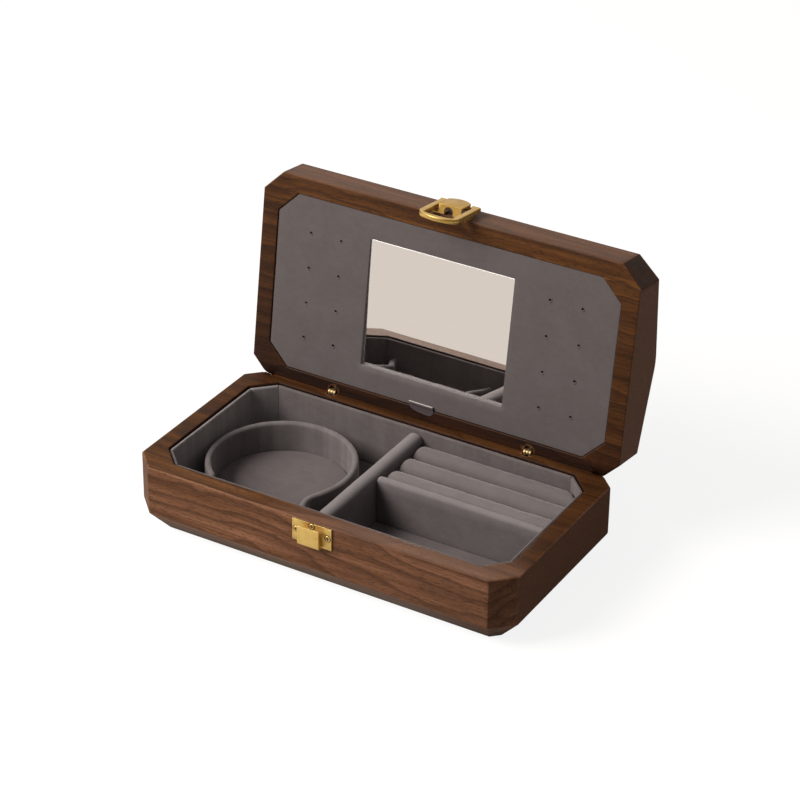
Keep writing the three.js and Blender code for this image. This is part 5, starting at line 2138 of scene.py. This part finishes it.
    def whole(self) -> Surface:
        """The whole loop with an eye at the head of each arm. The pin's end shows as a pit in each eye."""
        low, high = self.bridge_half + 0.4, self.half_width + self.eye_proud
        radius, pit = self.eye_radius, high - self.eye_proud * 2 / 3
        profile = np.array(
            [
                (self.eye_bore, low),
                (radius - 0.25, low),
                (radius, low + 0.25),
                (radius, high - 0.3),
                (radius - 0.1, high - 0.1),
                (radius - 0.3, high),
                (self.eye_pit, high),
                (self.eye_pit, pit),
                (self.eye_bore, pit),
            ]
        )
        right = turned_shape(profile)
        left = right.moved(lambda points: points * np.array([-1.0, -1.0, 1.0]))
        return self.frame().joined(left).joined(right)

    def build(self, shop: Workshop) -> None:
        """Builds the loop and hangs it on the pin."""

        def hang(points: np.ndarray) -> np.ndarray:
            return SIZES.swung(points + np.array([SIZES.latch_x, self.pin_y, self.pin_z]))

        loop = put_mesh("brass_latch_loop", self.whole().moved(hang), 40)
        shop.place(loop, "brass_latch", Slot.BRASS, Body.LOOP, ["latch_loop"])


@dataclass
class BrassWork:
    """Keeper, latch bracket, pins, screws and barrel hinges, with eased edges."""

    slot_reach: float = 1.1
    slot_start: float = 0.04
    wall_y: float = -53.6
    window_x: float = -0.6
    window_half: float = 2.3
    window_top_y: float = -57.5
    window_bottom: float = 37.9
    window_depth: float = 11.0

    def window_cutter(self) -> bpy.types.Object:
        """A block that opens the bracket's window on into the knuckle behind it, with the lid open."""
        x, half = SIZES.latch_x + self.window_x, self.window_half
        low, high = self.window_bottom, self.window_bottom + self.window_depth
        wall, arch = self.wall_y + 0.2, self.window_top_y
        turn = np.linspace(0, np.pi, 17)
        arc = np.stack([x + half * np.cos(turn), arch + half - half * np.sin(turn)], axis=-1)
        outline = np.concatenate([[(x + half, wall)], arc, [(x - half, wall)]])
        rows = np.stack([raised(outline, np.full(len(outline), z)) for z in (high, low)])
        return put_mesh("window_cutter", Surface.from_grid(rows).moved(SIZES.swung))

    def mark_window(self, bracket: bpy.types.Object) -> None:
        """Marks the points inside the bracket's window, which take painted shade."""
        x, y, z = SIZES.turned(points_of(bracket), SIZES.open_angle).T
        low, high = self.window_bottom, self.window_bottom + self.window_depth
        near = np.abs(x - SIZES.latch_x - self.window_x) < self.window_half + 0.05
        inside = near & (z > low + 1.0) & (z < high + 0.1) & (y > self.window_top_y - 0.05)
        write_value(bracket.data, "recess_shade", inside)

    def mark_slot(self, screw: bpy.types.Object, body: Body) -> None:
        """Marks the points of a screw's cross slot for painted shade: they lie behind its front and close to
        its axis.

        Args:
            screw: the screw, whose axis is square to the front wall.
            body: the body it is on. The lid's screws are turned with the lid.
        """
        places = points_of(screw)
        turn = 0.0 if body is Body.BASE else SIZES.open_angle
        out = np.array([0.0, -np.cos(turn), np.sin(turn)])
        depth = (places @ out).max() - places @ out
        off = places - (places.min(axis=0) + places.max(axis=0)) / 2
        off -= (off @ out)[:, None] * out
        close = np.linalg.norm(off, axis=1) < self.slot_reach
        write_value(screw.data, "recess_shade", close & (depth > self.slot_start))

    def build(self, shop: Workshop) -> None:
        """Eases the brass pieces, opens the bracket's window and marks the recesses for painted shade."""
        for node, width, finish in (
            ("keeper_plate", 0.12, "brass"),
            ("latch_bracket", 0.12, "brass_latch"),
            ("hinge_left_base_barrel", 0.1, "hinge_metal"),
            ("hinge_right_base_barrel", 0.1, "hinge_metal"),
            ("hinge_left_lid_barrel", 0.1, "hinge_metal"),
            ("hinge_right_lid_barrel", 0.1, "hinge_metal"),
            ("latch_pin", 0.1, "brass_latch"),
            ("hinge_left_pin", 0.06, "hinge_metal"),
            ("hinge_right_pin", 0.06, "hinge_metal"),
            ("keeper_screw_left", 0.05, "brass_screw"),
            ("keeper_screw_top", 0.05, "brass_screw"),
            ("keeper_screw_right", 0.05, "brass_screw"),
            ("latch_screw_left", 0.05, "brass_screw"),
            ("latch_screw_right", 0.05, "brass_screw"),
        ):
            body = Body.LID if "latch" in node or "lid" in node else Body.BASE
            piece = shop.eased(node, f"brass_{node}", width)
            if node == "latch_bracket":
                cut_away(piece, self.window_cutter())
                self.mark_window(piece)
            if "screw" in node:
                self.mark_slot(piece, body)
            shop.place(piece, finish, Slot.BRASS, body, [node])


@dataclass
class Studio:
    """Camera at the photograph's viewing angle, pale floor and soft light."""

    azimuth: float = 30.289
    elevation: float = 30.183
    roll: float = 0.704
    distance: float = 1252.785
    lens: float = 125.016
    target: tuple[float, float, float] = (13.274, 0.0, 78.164)
    floor_half: float = 6.0
    lit_point: tuple[float, float, float] = (0.0, 0.0, 0.06)

    def camera(self) -> None:
        """Puts the camera on the line from the target back along the viewing angle, rolled a little."""
        azimuth, elevation, roll = np.radians([self.azimuth, self.elevation, self.roll])
        level = np.array([np.sin(azimuth), -np.cos(azimuth), 0.0]) * np.cos(elevation)
        back = level + np.array([0.0, 0.0, np.sin(elevation)])
        right = np.array([np.cos(azimuth), np.sin(azimuth), 0.0])
        up = np.cross(back, right)
        level_right = np.cos(roll) * right + np.sin(roll) * up
        level_up = -np.sin(roll) * right + np.cos(roll) * up
        place = (np.array(self.target) + back * self.distance) * MM
        matrix = np.eye(4)
        matrix[:3, 0], matrix[:3, 1], matrix[:3, 2], matrix[:3, 3] = level_right, level_up, back, place
        data = bpy.data.cameras.new("photo_camera")
        data.lens = self.lens
        data.sensor_width = 36.0
        data.clip_start, data.clip_end = 0.05, 50.0
        camera = add_object("photo_camera", data)
        camera.matrix_world = Matrix(matrix.tolist())
        bpy.context.scene.camera = camera

    def lamp(
        self, name: str, place: tuple[float, float, float], size: float, power: float, tint: str
    ) -> None:
        """Adds a square soft lamp that faces the box.

        Args:
            name: the lamp's name.
            place: where it stands, in metres.
            size: its side, in metres.
            power: its power in watts.
            tint: its colour.
        """
        data = bpy.data.lights.new(name, "AREA")
        data.shape = "SQUARE"
        data.size = size
        data.energy = power
        data.color = colour(tint)[:3]
        made = add_object(name, data)
        made.location = place
        made.rotation_euler = (Vector(self.lit_point) - Vector(place)).to_track_quat("-Z", "Y").to_euler()

    def shown_as(
        self,
        graph: Graph,
        seen: bpy.types.NodeSocket,
        mirrored: bpy.types.NodeSocket,
        lit: bpy.types.NodeSocket,
    ) -> bpy.types.NodeSocket:
        """A shader that the camera sees as one glow, metal and glass as another, and all else as lit.

        Args:
            graph: the tree.
            seen: the camera's shader socket.
            mirrored: the shader socket for reflections and things seen through glass.
            lit: the shader socket for all other light.

        Returns:
            The joined shader.
        """
        path = graph.add("ShaderNodeLightPath")
        shiny = graph.maths("MAXIMUM", path.outputs["Is Glossy Ray"], path.outputs["Is Transmission Ray"])
        shown = lit
        for share, shader in ((shiny, mirrored), (path.outputs["Is Camera Ray"], seen)):
            mix = graph.add("ShaderNodeMixShader")
            for socket, value in zip(mix.inputs, (share, shown, shader)):
                graph.link(value, socket)
            shown = mix.outputs[0]
        return shown

    def floor(self) -> None:
        """A pale floor that keeps a faint shadow of the box, and a painted shadow in its reflections."""
        corners = np.array([(-1, -1, 0), (1, -1, 0), (1, 1, 0), (-1, 1, 0)]) * self.floor_half / MM
        made = put_mesh("pale_floor", Surface(corners, np.array([[0, 1, 2, 3]])))
        finish = bpy.data.materials.new("pale_floor")
        finish.use_nodes = True
        finish.node_tree.nodes.clear()
        graph = Graph(finish.node_tree)
        plain = graph.fill(graph.add("ShaderNodeBsdfDiffuse"), {"Color": (0.62, 0.61, 0.60, 1)})
        glow = graph.fill(graph.add("ShaderNodeEmission"), {"Color": (1, 1, 1, 1), "Strength": 0.86})
        faint = graph.fill(graph.add("ShaderNodeBsdfDiffuse"), {"Color": (0.2, 0.2, 0.2, 1)})
        seen = graph.add("ShaderNodeAddShader")
        graph.link(glow.outputs[0], seen.inputs[0])
        graph.link(faint.outputs[0], seen.inputs[1])
        across = graph.split(graph.add("ShaderNodeTexCoord").outputs["Object"])[0]
        # Painted shadow: what metal and glass see of the floor dims towards +X, where the box's shadow falls.
        painted_shadow_fade = graph.spread(across, 0.03, 0.12, 0.98, 0.12)
        beige = graph.fill(graph.add("ShaderNodeEmission"), {"Color": colour("dcd2c8"), "Strength": painted_shadow_fade})
        shown = self.shown_as(graph, seen.outputs[0], beige.outputs[0], plain.outputs[0])
        graph.link(shown, graph.add("ShaderNodeOutputMaterial").inputs[0])
        made.data.materials.append(finish)

    def world(self) -> None:
        """White for the camera, and soft even light for the box."""
        world = bpy.data.worlds.new("soft_room")
        bpy.context.scene.world = world
        world.use_nodes = True
        world.node_tree.nodes.clear()
        graph = Graph(world.node_tree)
        shades = []
        for tint, strength in (("ffffff", 1.0), ("f4f0ec", 0.95), ("fff8f2", 0.22)):
            node = graph.add("ShaderNodeBackground")
            shades.append(graph.fill(node, {"Color": colour(tint), "Strength": strength}).outputs[0])
        graph.link(self.shown_as(graph, *shades), graph.add("ShaderNodeOutputWorld").inputs[0])

    def build(self) -> None:
        """Sets the camera, the floor, the world and the lamps."""
        scene = bpy.context.scene
        scene.view_settings.view_transform = "Standard"
        self.camera()
        self.floor()
        self.world()
        self.lamp("key_left_front", (-1.12, -1.1, 1.3), 1.1, 58.0, "fffaf5")


def main() -> None:
    """Loads the frame and builds every sub-assembly in order."""
    logging.basicConfig(level=logging.INFO, format="%(name)s: %(message)s")
    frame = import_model()
    shop = Workshop(frame["nodes"])
    Studio().build()
    WalnutShells().build(shop)
    TrayLining().build(shop)
    RingRolls().build(shop)
    BangleHolder().build(shop)
    LidPanel().build(shop)
    LatchLoop().build(shop)
    BrassWork().build(shop)


if __name__ == "__main__":
    main()
